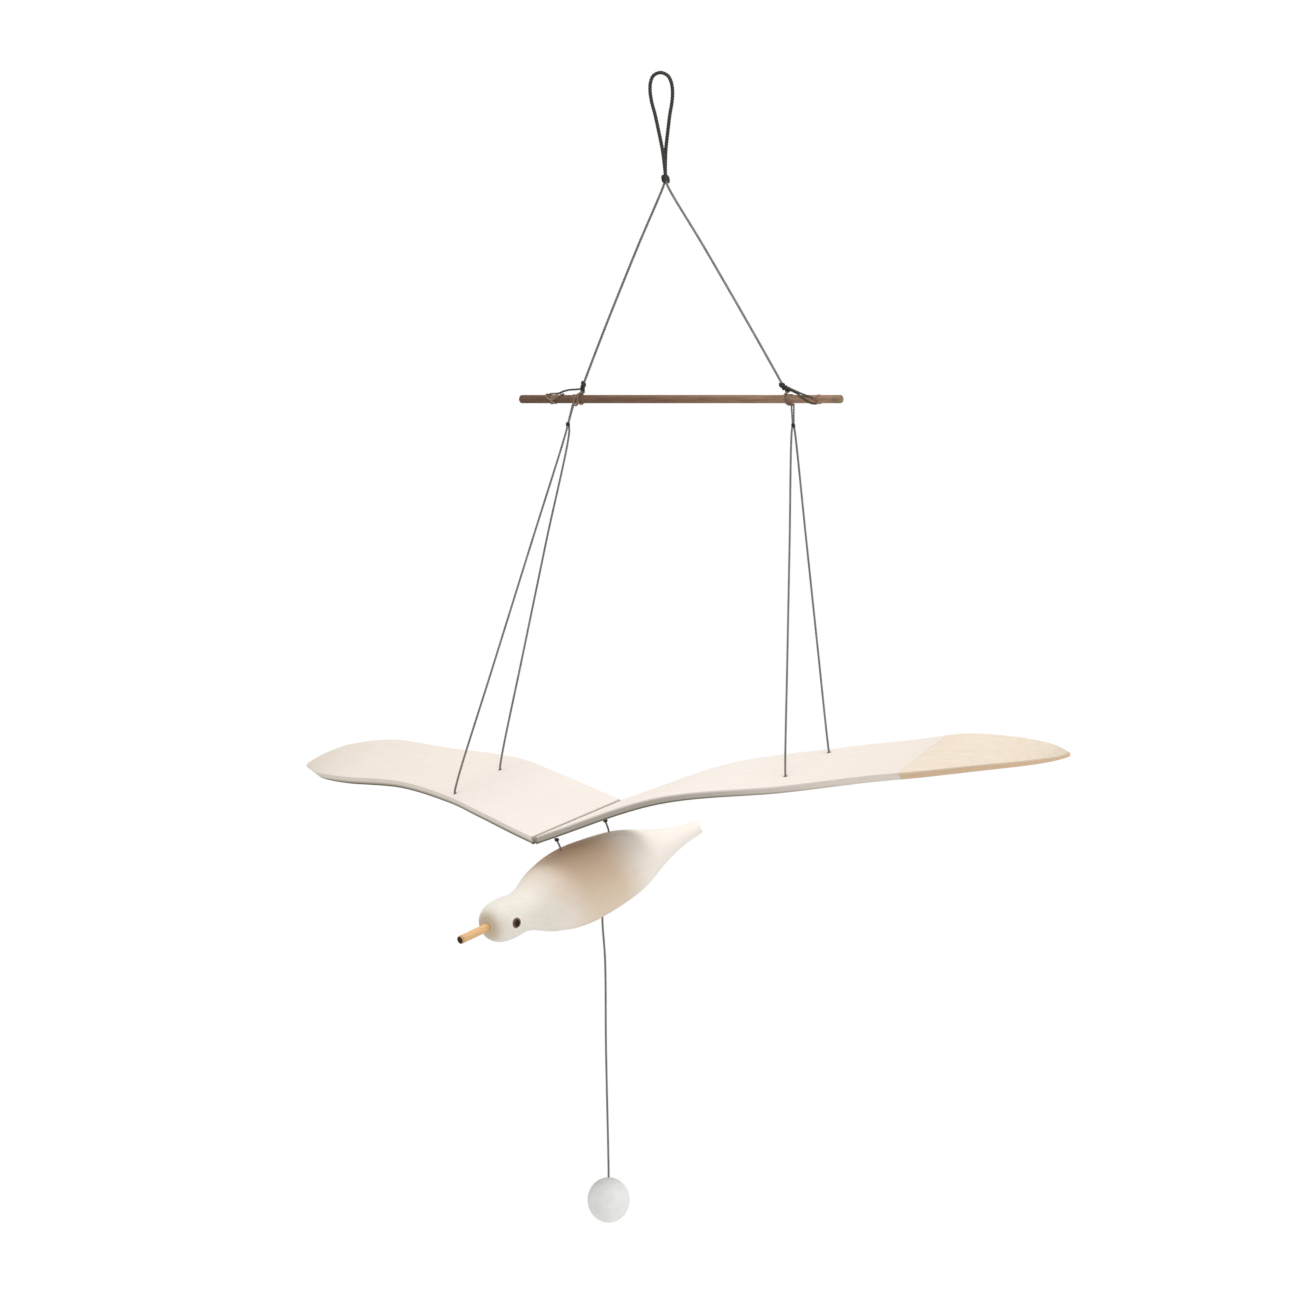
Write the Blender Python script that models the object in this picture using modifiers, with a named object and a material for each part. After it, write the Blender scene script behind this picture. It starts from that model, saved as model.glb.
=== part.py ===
"""Hanging bird ornament with wings that flap.

A turned wooden bird hangs under two thin bent wooden wings.  Each wing hangs by a front and a
rear strand from a rod, and the rod hangs by one knotted cord.  Pulling the ball makes it flap.
Metres, +Z up.  The bird flies towards -Y, its left wing is at +X, and the origin is the inner
top of the hanging loop, where a hook carries it.
"""
from math import cos, pi, radians, sin

import bmesh
import bpy
import numpy as np
from mathutils import Matrix, Vector

# Clearances
GAP = 0.0003
HOLE_PLAY = 0.00045
KNOT_PLAY = 0.0008

# Cord
CORD_DIAMETER = 0.0014
CORD_POINT_SPACING = 0.0042
TIGHT_POINT_SPACING = 0.0020
CORD_BEVEL_RESOLUTION = 2
ROUND_SIDES = 16
CUT_PAST = 0.003

# Hanging loop, in a plane of its own: distance from its middle, height, and how far its two
# sides have turned round each other
LOOP_PLANE_TURN = 48.0
LOOP_SIDE_ROUTE = [(0.0, 0.0007, 0.0), (0.0034, -0.0007, 0.0), (0.0050, -0.0038, 0.0),
                   (0.0055, -0.0083, 0.0), (0.0050, -0.0135, 0.0), (0.0036, -0.0200, 0.0),
                   (0.0022, -0.0285, 10.0), (0.0012, -0.0360, 35.0), (0.0009, -0.0420, 65.0),
                   (0.0009, -0.0488, 90.0)]
LOOP_POINT_SPACING = 0.0030
LOOP_KNOT_AT = (0.0037, 0.0, -0.0515)
LOOP_KNOT_WIDTH = 0.0046
LOOP_KNOT_HEIGHT = 0.0052
LEG_APART_AT_KNOT = 0.0013
LEG_APART_AT_TIE = 0.0009
LEG_BOW = (0.0012, 0.0, -0.0006)

# Rod, and where the cords are tied to it, measured along it from its middle
ROD_DROP = 0.1593
ROD_LENGTH = 0.2338
ROD_DIAMETER = 0.0041
ROD_AT = (0.0211, -0.0053, -ROD_DROP)
ROD_EDGE_ROUND = 0.0003
TIE_WIDTH = 0.0052
TIE_LEFT_ALONG = 0.0789
TIE_RIGHT_ALONG = -0.0764
TIE_TAIL_LEFT = 0.0219
TIE_TAIL_RIGHT = 0.0178
TIE_KNOT_RISE = 0.0059
TIE_KNOT_INWARD_LEFT = 0.0047
TIE_KNOT_INWARD_RIGHT = 0.0043
TIE_KNOT_SIZE = 0.0030
TIE_NECK_BOW = (-0.0002, 0.0014)
TIE_TAIL_BOW = (-0.0012, 0.0016)
TIE_TAIL_FALL = (-0.0016, 0.0006)
END_WRAP_WIDTH = 0.0031
WRAP_SINK = 0.0004
WRAP_STEPS = 12

# Suspension: the bead below each tie, where the cord parts into two strands
BEAD_DROP = 0.0132
BEAD_LEFT_OUT = 0.0031
BEAD_RIGHT_OUT = 0.0066
BEAD_DIAMETER = 0.0024
STRAND_START_PLAY = 0.0009
STOP_KNOT_DIAMETER = 0.0026
DROP_LEAN_AT_ROD = 0.2

# The bird's own frame starts at the leading corner of the wing roots, below the rod
WINGS_BELOW_ROD = 0.2165
BIRD_AT = (0.0, -0.0836, -ROD_DROP - WINGS_BELOW_ROD)
NOSE_DOWN = 17.5
ROLL = 0.60

# Wings: bent panels, given at nine stations from root to tip, each bent a little by itself
HALF_SPAN = 0.2793
WING_THICKNESS = 0.0029
WING_EDGE_ROUND = 0.0007
ROOT_CLEARANCE = 0.0018
TIP_ROUNDNESS = 2.0
TIP_BLUNT = 0.04
LEADING_EDGE = [0.0, 0.0258, 0.0562, 0.0707, 0.0725, 0.0844, 0.0980, 0.1070, 0.1100]
TRAILING_EDGE = [0.0612, 0.0808, 0.1062, 0.1074, 0.1084, 0.1078, 0.1098, 0.1104, 0.1100]
RISE_LEFT = [0.0, 0.0103, 0.0071, 0.0074, 0.0091, 0.0083, 0.0065, 0.0061, 0.0073]
RISE_RIGHT = [0.0, 0.0070, 0.0058, 0.0088, 0.0107, 0.0089, 0.0065, 0.0056, 0.0066]
TWIST_LEFT = [0.0, 0.0019, 0.0046, 0.0072, 0.0081, 0.0077, 0.0062, 0.0034, 0.0]
TWIST_RIGHT = [0.0, 0.0018, 0.0032, 0.0052, 0.0077, 0.0081, 0.0060, 0.0030, 0.0]
WING_SPAN_SEGMENTS = 30
WING_CHORD_SEGMENTS = 3

# Strand holes in the wings: out along the span, then in from the leading and trailing edges
HOLE_OUT = 0.1163
HOLE_MARGINS_LEFT = (0.0146, 0.0053)
HOLE_MARGINS_RIGHT = (0.0041, 0.015)

# Body, turned round its own axis: distance behind the head's face, then radius
BODY_LENGTH = 0.1469
BODY_PITCH = 19.4
BODY_RADIUS = 0.0199
HEAD_FACE_AT = (0.0, -0.0304, -0.0422)
BODY_PROFILE = [(0.0, 0.27), (0.010, 0.38), (0.030, 0.47), (0.055, 0.515), (0.095, 0.53),
                (0.139, 0.505), (0.180, 0.55), (0.2175, 0.655), (0.266, 0.805), (0.310, 0.89),
                (0.356, 0.96), (0.419, 1.0), (0.497, 0.975), (0.582, 0.91), (0.650, 0.83),
                (0.711, 0.70), (0.7745, 0.53), (0.855, 0.35), (0.929, 0.235), (1.0, 0.168)]
BODY_SEGMENTS = 24
TAIL_NOTCH_DEPTH = 0.0016
TAIL_NOTCH_WIDTH = 0.0040

# Beak and eyes
BEAK_DIAMETER = 0.0041
BEAK_SHOWN = 0.0194
BEAK_SUNK = 0.0080
EYE_DIAMETER = 0.0046
EYE_BACK = 0.0101
EYE_BELOW = 8.0
EYE_SUNK = 0.0015
EYE_PROUD = 0.0008

# Links from the wing roots to the body's back, and the pull cord with its ball
LINK_KNOTS = [("front", 0.0151, 0.0006), ("rear", 0.0471, 0.0100)]
LINK_KNOT_DIAMETER = 0.0026
LINK_BODY_BACK = {"front": 0.0578, "rear": 0.0907}
LINK_SUNK = 0.0030
PULL_CORD_BACK = 0.0735
PULL_CORD_SUNK = 0.0030
PULL_CORD_DROP = 0.1288
PULL_CORD_STRAIGHT = 0.0040
PULL_CORD_SWAY = [(0.15, 0.0011), (0.5, 0.0003)]
BALL_WIDTH = 0.0206
BALL_HEIGHT = 0.0222
BALL_ASIDE = 0.0040
BALL_HOLE_DEPTH = 0.0040

CORD_COLOUR = (0.075, 0.062, 0.050, 1.0)
ROD_COLOUR = (0.235, 0.130, 0.072, 1.0)
WING_COLOUR = (0.860, 0.785, 0.690, 1.0)
BODY_COLOUR = (0.840, 0.755, 0.640, 1.0)
BEAK_COLOUR = (0.720, 0.420, 0.190, 1.0)
EYE_COLOUR = (0.010, 0.009, 0.008, 1.0)
BALL_COLOUR = (0.860, 0.860, 0.850, 1.0)


def clear_scene():
    for old in list(bpy.data.objects):
        bpy.data.objects.remove(old, do_unlink=True)


def make_collection(name):
    made = bpy.data.collections.new(name)
    bpy.context.scene.collection.children.link(made)
    return made


clear_scene()
PARTS = make_collection("hanging_bird_ornament")
CUTTERS = make_collection("cutters")


def material(name, colour, roughness):
    made = bpy.data.materials.new(name)
    made.use_nodes = True
    shader = made.node_tree.nodes["Principled BSDF"]
    shader.inputs["Base Color"].default_value = colour
    shader.inputs["Roughness"].default_value = roughness
    shader.inputs["Metallic"].default_value = 0.0
    made.diffuse_color = colour
    return made


CORD = material("waxed_cord", CORD_COLOUR, 0.85)
ROD_WOOD = material("rod_wood", ROD_COLOUR, 0.7)
WING_WOOD = material("washed_wing_wood", WING_COLOUR, 0.65)
BODY_WOOD = material("washed_body_wood", BODY_COLOUR, 0.6)
BEAK_WOOD = material("beak_wood", BEAK_COLOUR, 0.55)
EYE_BLACK = material("eye_black", EYE_COLOUR, 0.2)
BALL_PAINT = material("ball_paint", BALL_COLOUR, 0.6)


def hide_as_cutter(made):
    """Cutters and joined-on shapes are seen through their target alone."""
    made.hide_render = True
    made.display_type = "WIRE"
    for home in list(made.users_collection):
        home.objects.unlink(made)
    CUTTERS.objects.link(made)


def shade_round(made, angle=35.0):
    made.data.shade_smooth()
    made.data.set_sharp_from_angle(angle=radians(angle))


def link_new(name, data, collection, look=None):
    made = bpy.data.objects.new(name, data)
    collection.objects.link(made)
    if look is not None:
        data.materials.append(look)
    return made


def smooth_value(values, t):
    """Read a smooth curve through evenly spaced values at t from 0 to 1."""
    values = np.asarray(values, dtype=float)
    last = len(values) - 1
    along = min(max(t, 0.0), 1.0) * last
    i = min(int(along), last - 1)
    f = along - i
    before = values[i - 1] if i > 0 else 2 * values[0] - values[1]
    after = values[i + 2] if i + 2 <= last else 2 * values[last] - values[last - 1]
    here, there = values[i], values[i + 1]
    return 0.5 * (2 * here + (there - before) * f
                  + (2 * before - 5 * here + 4 * there - after) * f ** 2
                  + (3 * here - before - 3 * there + after) * f ** 3)


def smooth_route(route, spacing=CORD_POINT_SPACING):
    """Points at an even spacing on a smooth curve through a cord's route."""
    route = [np.array(point, dtype=float) for point in route]
    fine = [smooth_value(route, k / 400) for k in range(401)]
    steps = [np.linalg.norm(b - a) for a, b in zip(fine, fine[1:])]
    run = np.concatenate([[0.0], np.cumsum(steps)])
    count = max(3, int(round(run[-1] / spacing)))
    wanted = np.linspace(0.0, run[-1], count + 1)
    fine = np.array(fine)
    return [Vector([np.interp(w, run, fine[:, axis]) for axis in range(3)]) for w in wanted]


def cord_curve(name, points, diameter=CORD_DIAMETER):
    """A round cord through these points, as a curve with a bevel and filled caps."""
    data = bpy.data.curves.new(name, "CURVE")
    data.dimensions = "3D"
    data.bevel_depth = diameter / 2
    data.bevel_resolution = CORD_BEVEL_RESOLUTION
    data.use_fill_caps = True
    spline = data.splines.new("POLY")
    spline.points.add(len(points) - 1)
    for point, at in zip(spline.points, points):
        point.co = (at[0], at[1], at[2], 1.0)
    return link_new(name, data, PARTS, CORD)


def cord_mesh(name, points, collection, diameter=CORD_DIAMETER):
    """The same cord as a closed mesh, for joining to a knot or a wrap."""
    curve = cord_curve(name + "_curve", points, diameter)
    bpy.context.view_layer.update()
    seen = curve.evaluated_get(bpy.context.evaluated_depsgraph_get())
    data = bpy.data.meshes.new_from_object(seen)
    data.name = name
    welded = bmesh.new()
    welded.from_mesh(data)
    bmesh.ops.remove_doubles(welded, verts=welded.verts, dist=0.00001)
    bmesh.ops.recalc_face_normals(welded, faces=welded.faces)
    welded.to_mesh(data)
    welded.free()
    made = link_new(name, data, collection)
    made.matrix_world = curve.matrix_world
    bpy.data.objects.remove(curve, do_unlink=True)
    shade_round(made)
    return made


def knot(name, centre, size, collection, turn=None):
    """A tight knot, as a small rounded lump of the given width, depth and height."""
    shape = bmesh.new()
    bmesh.ops.create_icosphere(shape, subdivisions=2, radius=0.5)
    matrix = Matrix.Translation(centre) @ (turn or Matrix.Identity(4)) @ Matrix.Diagonal((*size, 1.0))
    bmesh.ops.transform(shape, matrix=matrix, verts=shape.verts)
    return mesh_object(name, shape, collection, CORD)


def mesh_object(name, shape, collection, look=None):
    data = bpy.data.meshes.new(name)
    shape.to_mesh(data)
    shape.free()
    return link_new(name, data, collection, look)


def boolean(target, tool, operation):
    hide_as_cutter(tool)
    step = target.modifiers.new(operation.lower() + "_" + tool.name, "BOOLEAN")
    step.operation = operation
    step.solver = "EXACT"
    step.object = tool
    return step


def join_on(target, *pieces):
    for piece in pieces:
        boolean(target, piece, "UNION")
    return target


def drill(target, name, start, direction, diameter, depth):
    """Bore a round hole from a start point along a direction."""
    along = Vector(direction).normalized()
    shape = bmesh.new()
    bmesh.ops.create_cone(shape, cap_ends=True, segments=ROUND_SIDES, radius1=diameter / 2,
                          radius2=diameter / 2, depth=depth)
    turn = Vector((0.0, 0.0, 1.0)).rotation_difference(along).to_matrix().to_4x4()
    middle = Vector(start) + along * (depth / 2)
    bmesh.ops.transform(shape, matrix=Matrix.Translation(middle) @ turn, verts=shape.verts)
    return boolean(target, mesh_object(name, shape, CUTTERS), "DIFFERENCE")


# The bird's frame: forward is -Y, and the nose points down by NOSE_DOWN
BIRD = (Matrix.Translation(BIRD_AT) @ Matrix.Rotation(radians(NOSE_DOWN), 4, "X")
        @ Matrix.Rotation(-radians(ROLL), 4, "Y"))
UPRIGHT_BIRD = Matrix.Translation(BIRD_AT)


def wing_span_at(t):
    return HALF_SPAN * (1.0 - (1.0 - t) ** TIP_ROUNDNESS)


def wing_t_at(span):
    return 1.0 - (1.0 - span / HALF_SPAN) ** (1.0 / TIP_ROUNDNESS)


def wing_surface(t, share, side):
    """Middle of the wing panel at span parameter t, share 0 leading edge and 1 trailing edge."""
    leading = smooth_value(LEADING_EDGE, t)
    trailing = smooth_value(TRAILING_EDGE, t)
    rise, twist = (RISE_LEFT, TWIST_LEFT) if side > 0 else (RISE_RIGHT, TWIST_RIGHT)
    back = leading + (trailing - leading) * share
    up = smooth_value(rise, t) + smooth_value(twist, t) * share
    out = max(wing_span_at(t), ROOT_CLEARANCE / 2)
    return BIRD @ Vector((side * out, back, up))


def hole_frame(side, row):
    """Centre and upward normal of the front or rear strand hole in the wing's panel."""
    t = wing_t_at(HOLE_OUT)
    chord = smooth_value(TRAILING_EDGE, t) - smooth_value(LEADING_EDGE, t)
    front, rear = HOLE_MARGINS_LEFT if side > 0 else HOLE_MARGINS_RIGHT
    share = front / chord if row == "front" else 1.0 - rear / chord
    centre = wing_surface(t, share, side)
    step = 0.01
    outwards = wing_surface(t + step, share, side) - wing_surface(t - step, share, side)
    backwards = wing_surface(t, share + step, side) - wing_surface(t, share - step, side)
    normal = outwards.cross(backwards).normalized()
    if normal.z < 0:
        normal.negate()
    return centre, normal


def make_wing(name, side):
    """A thin bent panel: a flat grid shaped to the outline, given its thickness, then eased."""
    shape = bmesh.new()
    bmesh.ops.create_grid(shape, x_segments=WING_SPAN_SEGMENTS, y_segments=WING_CHORD_SEGMENTS,
                          size=0.5)
    for vertex in shape.verts:
        t = (vertex.co.x + 0.5) * (1.0 - TIP_BLUNT)
        share = vertex.co.y + 0.5
        vertex.co = wing_surface(t, share, side)
    bmesh.ops.recalc_face_normals(shape, faces=shape.faces)
    wing = mesh_object(name, shape, PARTS, WING_WOOD)
    wall = wing.modifiers.new("thickness", "SOLIDIFY")
    wall.thickness = WING_THICKNESS
    wall.offset = 0.0
    wall.use_even_offset = True
    edge = wing.modifiers.new("eased_edges", "BEVEL")
    edge.width = WING_EDGE_ROUND
    edge.segments = 1
    edge.limit_method = "ANGLE"
    edge.angle_limit = radians(50)
    for row in ("front", "rear"):
        centre, normal = hole_frame(side, row)
        drill(wing, name + "_" + row + "_hole", centre - normal * WING_THICKNESS, normal,
              CORD_DIAMETER + 2 * HOLE_PLAY, 2 * WING_THICKNESS)
    shade_round(wing, 40.0)
    return wing


def make_rod():
    shape = bmesh.new()
    bmesh.ops.create_cone(shape, cap_ends=True, segments=ROUND_SIDES, radius1=ROD_DIAMETER / 2,
                          radius2=ROD_DIAMETER / 2, depth=ROD_LENGTH)
    rod = mesh_object("rod", shape, PARTS, ROD_WOOD)
    rod.rotation_euler = (0.0, radians(90), 0.0)
    rod.location = ROD_AT
    edge = rod.modifiers.new("eased_ends", "BEVEL")
    edge.width = ROD_EDGE_ROUND
    edge.segments = 1
    edge.limit_method = "ANGLE"
    edge.angle_limit = radians(60)
    shade_round(rod)
    return rod


def on_rod(along, across=0.0, up=0.0):
    """A point beside the rod: along it from its middle, towards the rear, and up."""
    return Vector(ROD_AT) + Vector((along, across, up))


def turn_profile(made, steps):
    """Turn an object's profile round its own Z."""
    spin = made.modifiers.new("turned", "SCREW")
    spin.steps = steps
    spin.render_steps = steps
    spin.use_merge_vertices = True
    spin.merge_threshold = 0.00001
    spin.axis = "Z"


def profile_object(name, points, collection, look, closed=False):
    """A profile of radius and height pairs, ready to be turned."""
    shape = bmesh.new()
    corners = [shape.verts.new((radius, 0.0, height)) for radius, height in points]
    for a, b in zip(corners, corners[1:]):
        shape.edges.new((a, b))
    if closed:
        shape.edges.new((corners[-1], corners[0]))
    return mesh_object(name, shape, collection, look)


def wrap(name, along, width, turns, collection):
    """Cord wound round the rod, as a turned ring with one ridge for each turn."""
    inner = ROD_DIAMETER / 2 + GAP
    half_turn = width / turns / 2
    profile = [(inner, width / 2 - half_turn / 3)]
    for turn in range(turns):
        middle = width / 2 - half_turn * (2 * turn + 1)
        for angle in (60, 0, -60):
            rise = CORD_DIAMETER * (1 + 2 * cos(radians(angle))) / 3
            profile.append((inner + rise, middle + half_turn * 0.98 * sin(radians(angle))))
    profile.append((inner, half_turn / 3 - width / 2))
    ring = profile_object(name, profile, collection, CORD, closed=True)
    turn_profile(ring, WRAP_STEPS)
    ring.rotation_euler = (0.0, radians(90), 0.0)
    ring.location = on_rod(along)
    return ring


def tie_points(side):
    """Where one tie's knot, wraps and tail sit along the rod."""
    if side > 0:
        middle, knot_in, tail = TIE_LEFT_ALONG, TIE_KNOT_INWARD_LEFT, TIE_TAIL_LEFT
    else:
        middle, knot_in, tail = TIE_RIGHT_ALONG, TIE_KNOT_INWARD_RIGHT, TIE_TAIL_RIGHT
    return middle, middle - side * knot_in, middle + side * tail


def make_tie(name, side):
    """The leg cord's hitch: wraps on the rod, a knot on top, and a tail to a second wrap."""
    middle, knot_along, end = tie_points(side)
    top = ROD_DIAMETER / 2 + GAP + CORD_DIAMETER / 2
    knot_at = on_rod(knot_along, 0.0, TIE_KNOT_RISE)
    reach = end - knot_along
    tie = wrap(name, middle, TIE_WIDTH, 3, PARTS)
    neck_route = [on_rod(middle, 0.0, top - WRAP_SINK),
                  on_rod((middle + knot_along) / 2, TIE_NECK_BOW[0], top + TIE_NECK_BOW[1]), knot_at]
    tail_route = [knot_at,
                  on_rod(knot_along + reach * 0.35, TIE_TAIL_BOW[0], top + TIE_TAIL_BOW[1]),
                  on_rod(knot_along + reach * 0.7, TIE_TAIL_FALL[0], top + TIE_TAIL_FALL[1]),
                  on_rod(end, 0.0, top - WRAP_SINK)]
    neck = cord_mesh(name + "_neck", smooth_route(neck_route, TIGHT_POINT_SPACING), CUTTERS)
    tail = cord_mesh(name + "_tail", smooth_route(tail_route, TIGHT_POINT_SPACING), CUTTERS)
    lump = knot(name + "_knot", knot_at, (TIE_KNOT_SIZE * 1.15, TIE_KNOT_SIZE, TIE_KNOT_SIZE * 1.1),
                CUTTERS)
    return join_on(tie, neck, lump, tail, wrap(name + "_end_wrap", end, END_WRAP_WIDTH, 2, CUTTERS))


def bead_at(side):
    middle = tie_points(side)[0]
    out = BEAD_LEFT_OUT if side > 0 else -BEAD_RIGHT_OUT
    return on_rod(middle + out, 0.0, -BEAD_DROP)


def make_drop(name, side):
    """The short doubled cord from the tie's underside to its bead."""
    middle = tie_points(side)[0]
    under = ROD_DIAMETER / 2 + CORD_DIAMETER + 2 * GAP
    bead = bead_at(side)
    start = on_rod(middle, 0.0, -under)
    start.x += (bead.x - start.x) * DROP_LEAN_AT_ROD
    drop = cord_mesh(name, [start, (start + bead) / 2, bead], PARTS)
    return join_on(drop, knot(name + "_bead", bead, (BEAD_DIAMETER,) * 3, CUTTERS))


def strand_route(side, row, towards):
    """From under the bead down to the wing's hole, square through it, to the knot below."""
    centre, normal = hole_frame(side, row)
    bead = bead_at(side)
    below = (BEAD_DIAMETER + CORD_DIAMETER) / 2
    start = bead + Vector((0.0, towards * STRAND_START_PLAY, -below))
    entry = centre + normal * (WING_THICKNESS / 2 + CORD_DIAMETER)
    through = centre - normal * (WING_THICKNESS / 2 + KNOT_PLAY + STOP_KNOT_DIAMETER / 2)
    return [start, start.lerp(entry, 0.33), start.lerp(entry, 0.67), start.lerp(entry, 0.97), entry,
            centre, through]


def make_strand(name, side, row, towards):
    route = strand_route(side, row, towards)
    strand = cord_mesh(name, smooth_route(route[:5]) + route[5:], PARTS)
    return join_on(strand, knot(name + "_stop_knot", route[6], (STOP_KNOT_DIAMETER,) * 3, CUTTERS))


def loop_point(offset, height, twist):
    """A point of the loop, whose plane is turned from the rod's and leans to the knot."""
    lean = Vector(LOOP_KNOT_AT) * (height / LOOP_KNOT_AT[2])
    turn = radians(LOOP_PLANE_TURN + twist)
    return Vector((lean.x + offset * cos(turn), lean.y + offset * sin(turn), height))


def make_loop():
    rising = [loop_point(-offset, height, twist) for offset, height, twist in LOOP_SIDE_ROUTE[:0:-1]]
    falling = [loop_point(*row) for row in LOOP_SIDE_ROUTE]
    return cord_curve("hanging_loop", smooth_route(rising + falling, LOOP_POINT_SPACING))


def make_loop_knot():
    turn = Matrix.Rotation(radians(LOOP_PLANE_TURN), 4, "Z")
    size = (LOOP_KNOT_WIDTH, LOOP_KNOT_WIDTH * 0.85, LOOP_KNOT_HEIGHT)
    return knot("loop_knot", Vector(LOOP_KNOT_AT), size, PARTS, turn)


def leg_route(side):
    """A leg of the hanging cord, from below the loop's knot to the knot on the rod."""
    knot_along = tie_points(side)[1]
    start = Vector(LOOP_KNOT_AT)
    start += Vector((side * LEG_APART_AT_KNOT, 0.0, -LOOP_KNOT_HEIGHT / 2 - GAP))
    end = on_rod(knot_along, 0.0, TIE_KNOT_RISE)
    end += Vector((-side * LEG_APART_AT_TIE, 0.0, TIE_KNOT_SIZE * 0.55 + 2 * GAP))
    bow = Vector((side * LEG_BOW[0], LEG_BOW[1], LEG_BOW[2]))
    return [start, start.lerp(end, 0.3) + bow, start.lerp(end, 0.7) + bow, end]


def make_leg(name, side):
    return cord_curve(name, smooth_route(leg_route(side)))


# The body's own axis: its local +Z runs from the head's face back to the tail
BODY = (UPRIGHT_BIRD @ Matrix.Translation(HEAD_FACE_AT)
        @ Matrix.Rotation(radians(BODY_PITCH) - pi / 2, 4, "X"))


def body_radius_at(back):
    shares = [point[0] for point in BODY_PROFILE]
    radii = [point[1] for point in BODY_PROFILE]
    return float(np.interp(back / BODY_LENGTH, shares, radii)) * BODY_RADIUS


def on_body(back, below_top, off=0.0):
    """A point on the body's skin, by distance behind the face and turn from its top line."""
    radius = body_radius_at(back) + off
    angle = radians(below_top)
    return BODY @ Vector((radius * sin(angle), -radius * cos(angle), back))


def make_body():
    """The turned bird, with its sockets for eyes, cords and beak, and its notched tail."""
    rows = [(radius * BODY_RADIUS, share * BODY_LENGTH) for share, radius in BODY_PROFILE]
    outline = [(0.0, rows[-1][1])] + rows[::-1] + [(0.0, rows[0][1])]
    body = profile_object("body", outline, PARTS, BODY_WOOD)
    turn_profile(body, BODY_SEGMENTS)
    body.matrix_world = BODY
    for name, side in (("left", 1.0), ("right", -1.0)):
        skin, inwards = eye_place(side)
        drill(body, "eye_hole_" + name, skin - inwards * CUT_PAST, inwards, EYE_DIAMETER + 2 * GAP,
              CUT_PAST + EYE_SUNK + GAP)
    cord_hole = CORD_DIAMETER + 2 * GAP
    upwards = Vector((0.0, 0.0, 1.0))
    for name, back in LINK_BODY_BACK.items():
        drill(body, "link_hole_" + name, on_body(back, 0.0) + upwards * CUT_PAST, -upwards,
              cord_hole, CUT_PAST + LINK_SUNK + GAP)
    drill(body, "pull_cord_hole", on_body(PULL_CORD_BACK, 180.0) - upwards * CUT_PAST, upwards,
          cord_hole, CUT_PAST + PULL_CORD_SUNK + GAP)
    drill(body, "beak_hole", BODY @ Vector((0.0, 0.0, -CUT_PAST)), BODY.to_3x3() @ upwards,
          BEAK_DIAMETER + 2 * GAP, BEAK_SUNK + GAP + CUT_PAST)
    boolean(body, tail_notch(), "DIFFERENCE")
    shade_round(body, 40.0)
    return body


def tail_notch():
    """A shallow V across the cut end of the tail."""
    shape = bmesh.new()
    bmesh.ops.create_cube(shape, size=1.0)
    edge = TAIL_NOTCH_WIDTH / 2 ** 0.5
    slant = Matrix.Rotation(radians(45), 4, "X")
    scale = Matrix.Diagonal((4 * TAIL_NOTCH_WIDTH, edge, edge, 1.0))
    middle = BODY_LENGTH + TAIL_NOTCH_WIDTH / 2 - TAIL_NOTCH_DEPTH
    set_in = BODY @ Matrix.Translation((0.0, 0.0, middle))
    bmesh.ops.transform(shape, matrix=set_in @ slant @ scale, verts=shape.verts)
    return mesh_object("tail_notch", shape, CUTTERS)


def eye_place(side):
    """Skin point and inward direction of an eye."""
    skin = on_body(EYE_BACK, side * (90.0 + EYE_BELOW))
    axis = BODY @ Vector((0.0, 0.0, EYE_BACK))
    return skin, (axis - skin).normalized()


def make_eye(name, side):
    """A short round pin with a domed head, set in the side of the head."""
    skin, inwards = eye_place(side)
    radius = EYE_DIAMETER / 2
    rows = [(0.0, EYE_PROUD), (radius * 0.5, EYE_PROUD * 0.85), (radius * 0.85, EYE_PROUD * 0.45),
            (radius, 0.0), (radius, -EYE_SUNK), (0.0, -EYE_SUNK)]
    eye = profile_object(name, rows, PARTS, EYE_BLACK)
    turn_profile(eye, ROUND_SIDES)
    eye.rotation_mode = "QUATERNION"
    eye.rotation_quaternion = Vector((0.0, 0.0, 1.0)).rotation_difference(-inwards)
    eye.location = skin
    shade_round(eye, 40.0)
    return eye


def make_beak():
    """A plain dowel, set into the face along the body's axis."""
    shape = bmesh.new()
    length = BEAK_SHOWN + BEAK_SUNK
    bmesh.ops.create_cone(shape, cap_ends=True, segments=ROUND_SIDES, radius1=BEAK_DIAMETER / 2,
                          radius2=BEAK_DIAMETER / 2, depth=length)
    beak = mesh_object("beak", shape, PARTS, BEAK_WOOD)
    beak.matrix_world = BODY @ Matrix.Translation((0.0, 0.0, BEAK_SUNK - length / 2))
    shade_round(beak)
    return beak


def make_link(name, knot_back, knot_up):
    """A short cord from its knot under the wing roots to a hole in the bird's back."""
    knot_at = UPRIGHT_BIRD @ Vector((0.0, knot_back, knot_up))
    foot = on_body(LINK_BODY_BACK[name], 0.0) - Vector((0.0, 0.0, LINK_SUNK))
    neck = foot + Vector((0.0, 0.0, LINK_SUNK + CORD_DIAMETER / 2))
    link = cord_mesh("link_cord_" + name, [foot, neck, knot_at], PARTS)
    return join_on(link, knot("link_knot_" + name, knot_at, (LINK_KNOT_DIAMETER,) * 3, CUTTERS))


def ball_at():
    """The ball's centre, at the end of the pull cord below the belly."""
    return on_body(PULL_CORD_BACK, 180.0) + Vector((0.0, BALL_ASIDE, -PULL_CORD_DROP - BALL_HEIGHT / 2))


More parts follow.
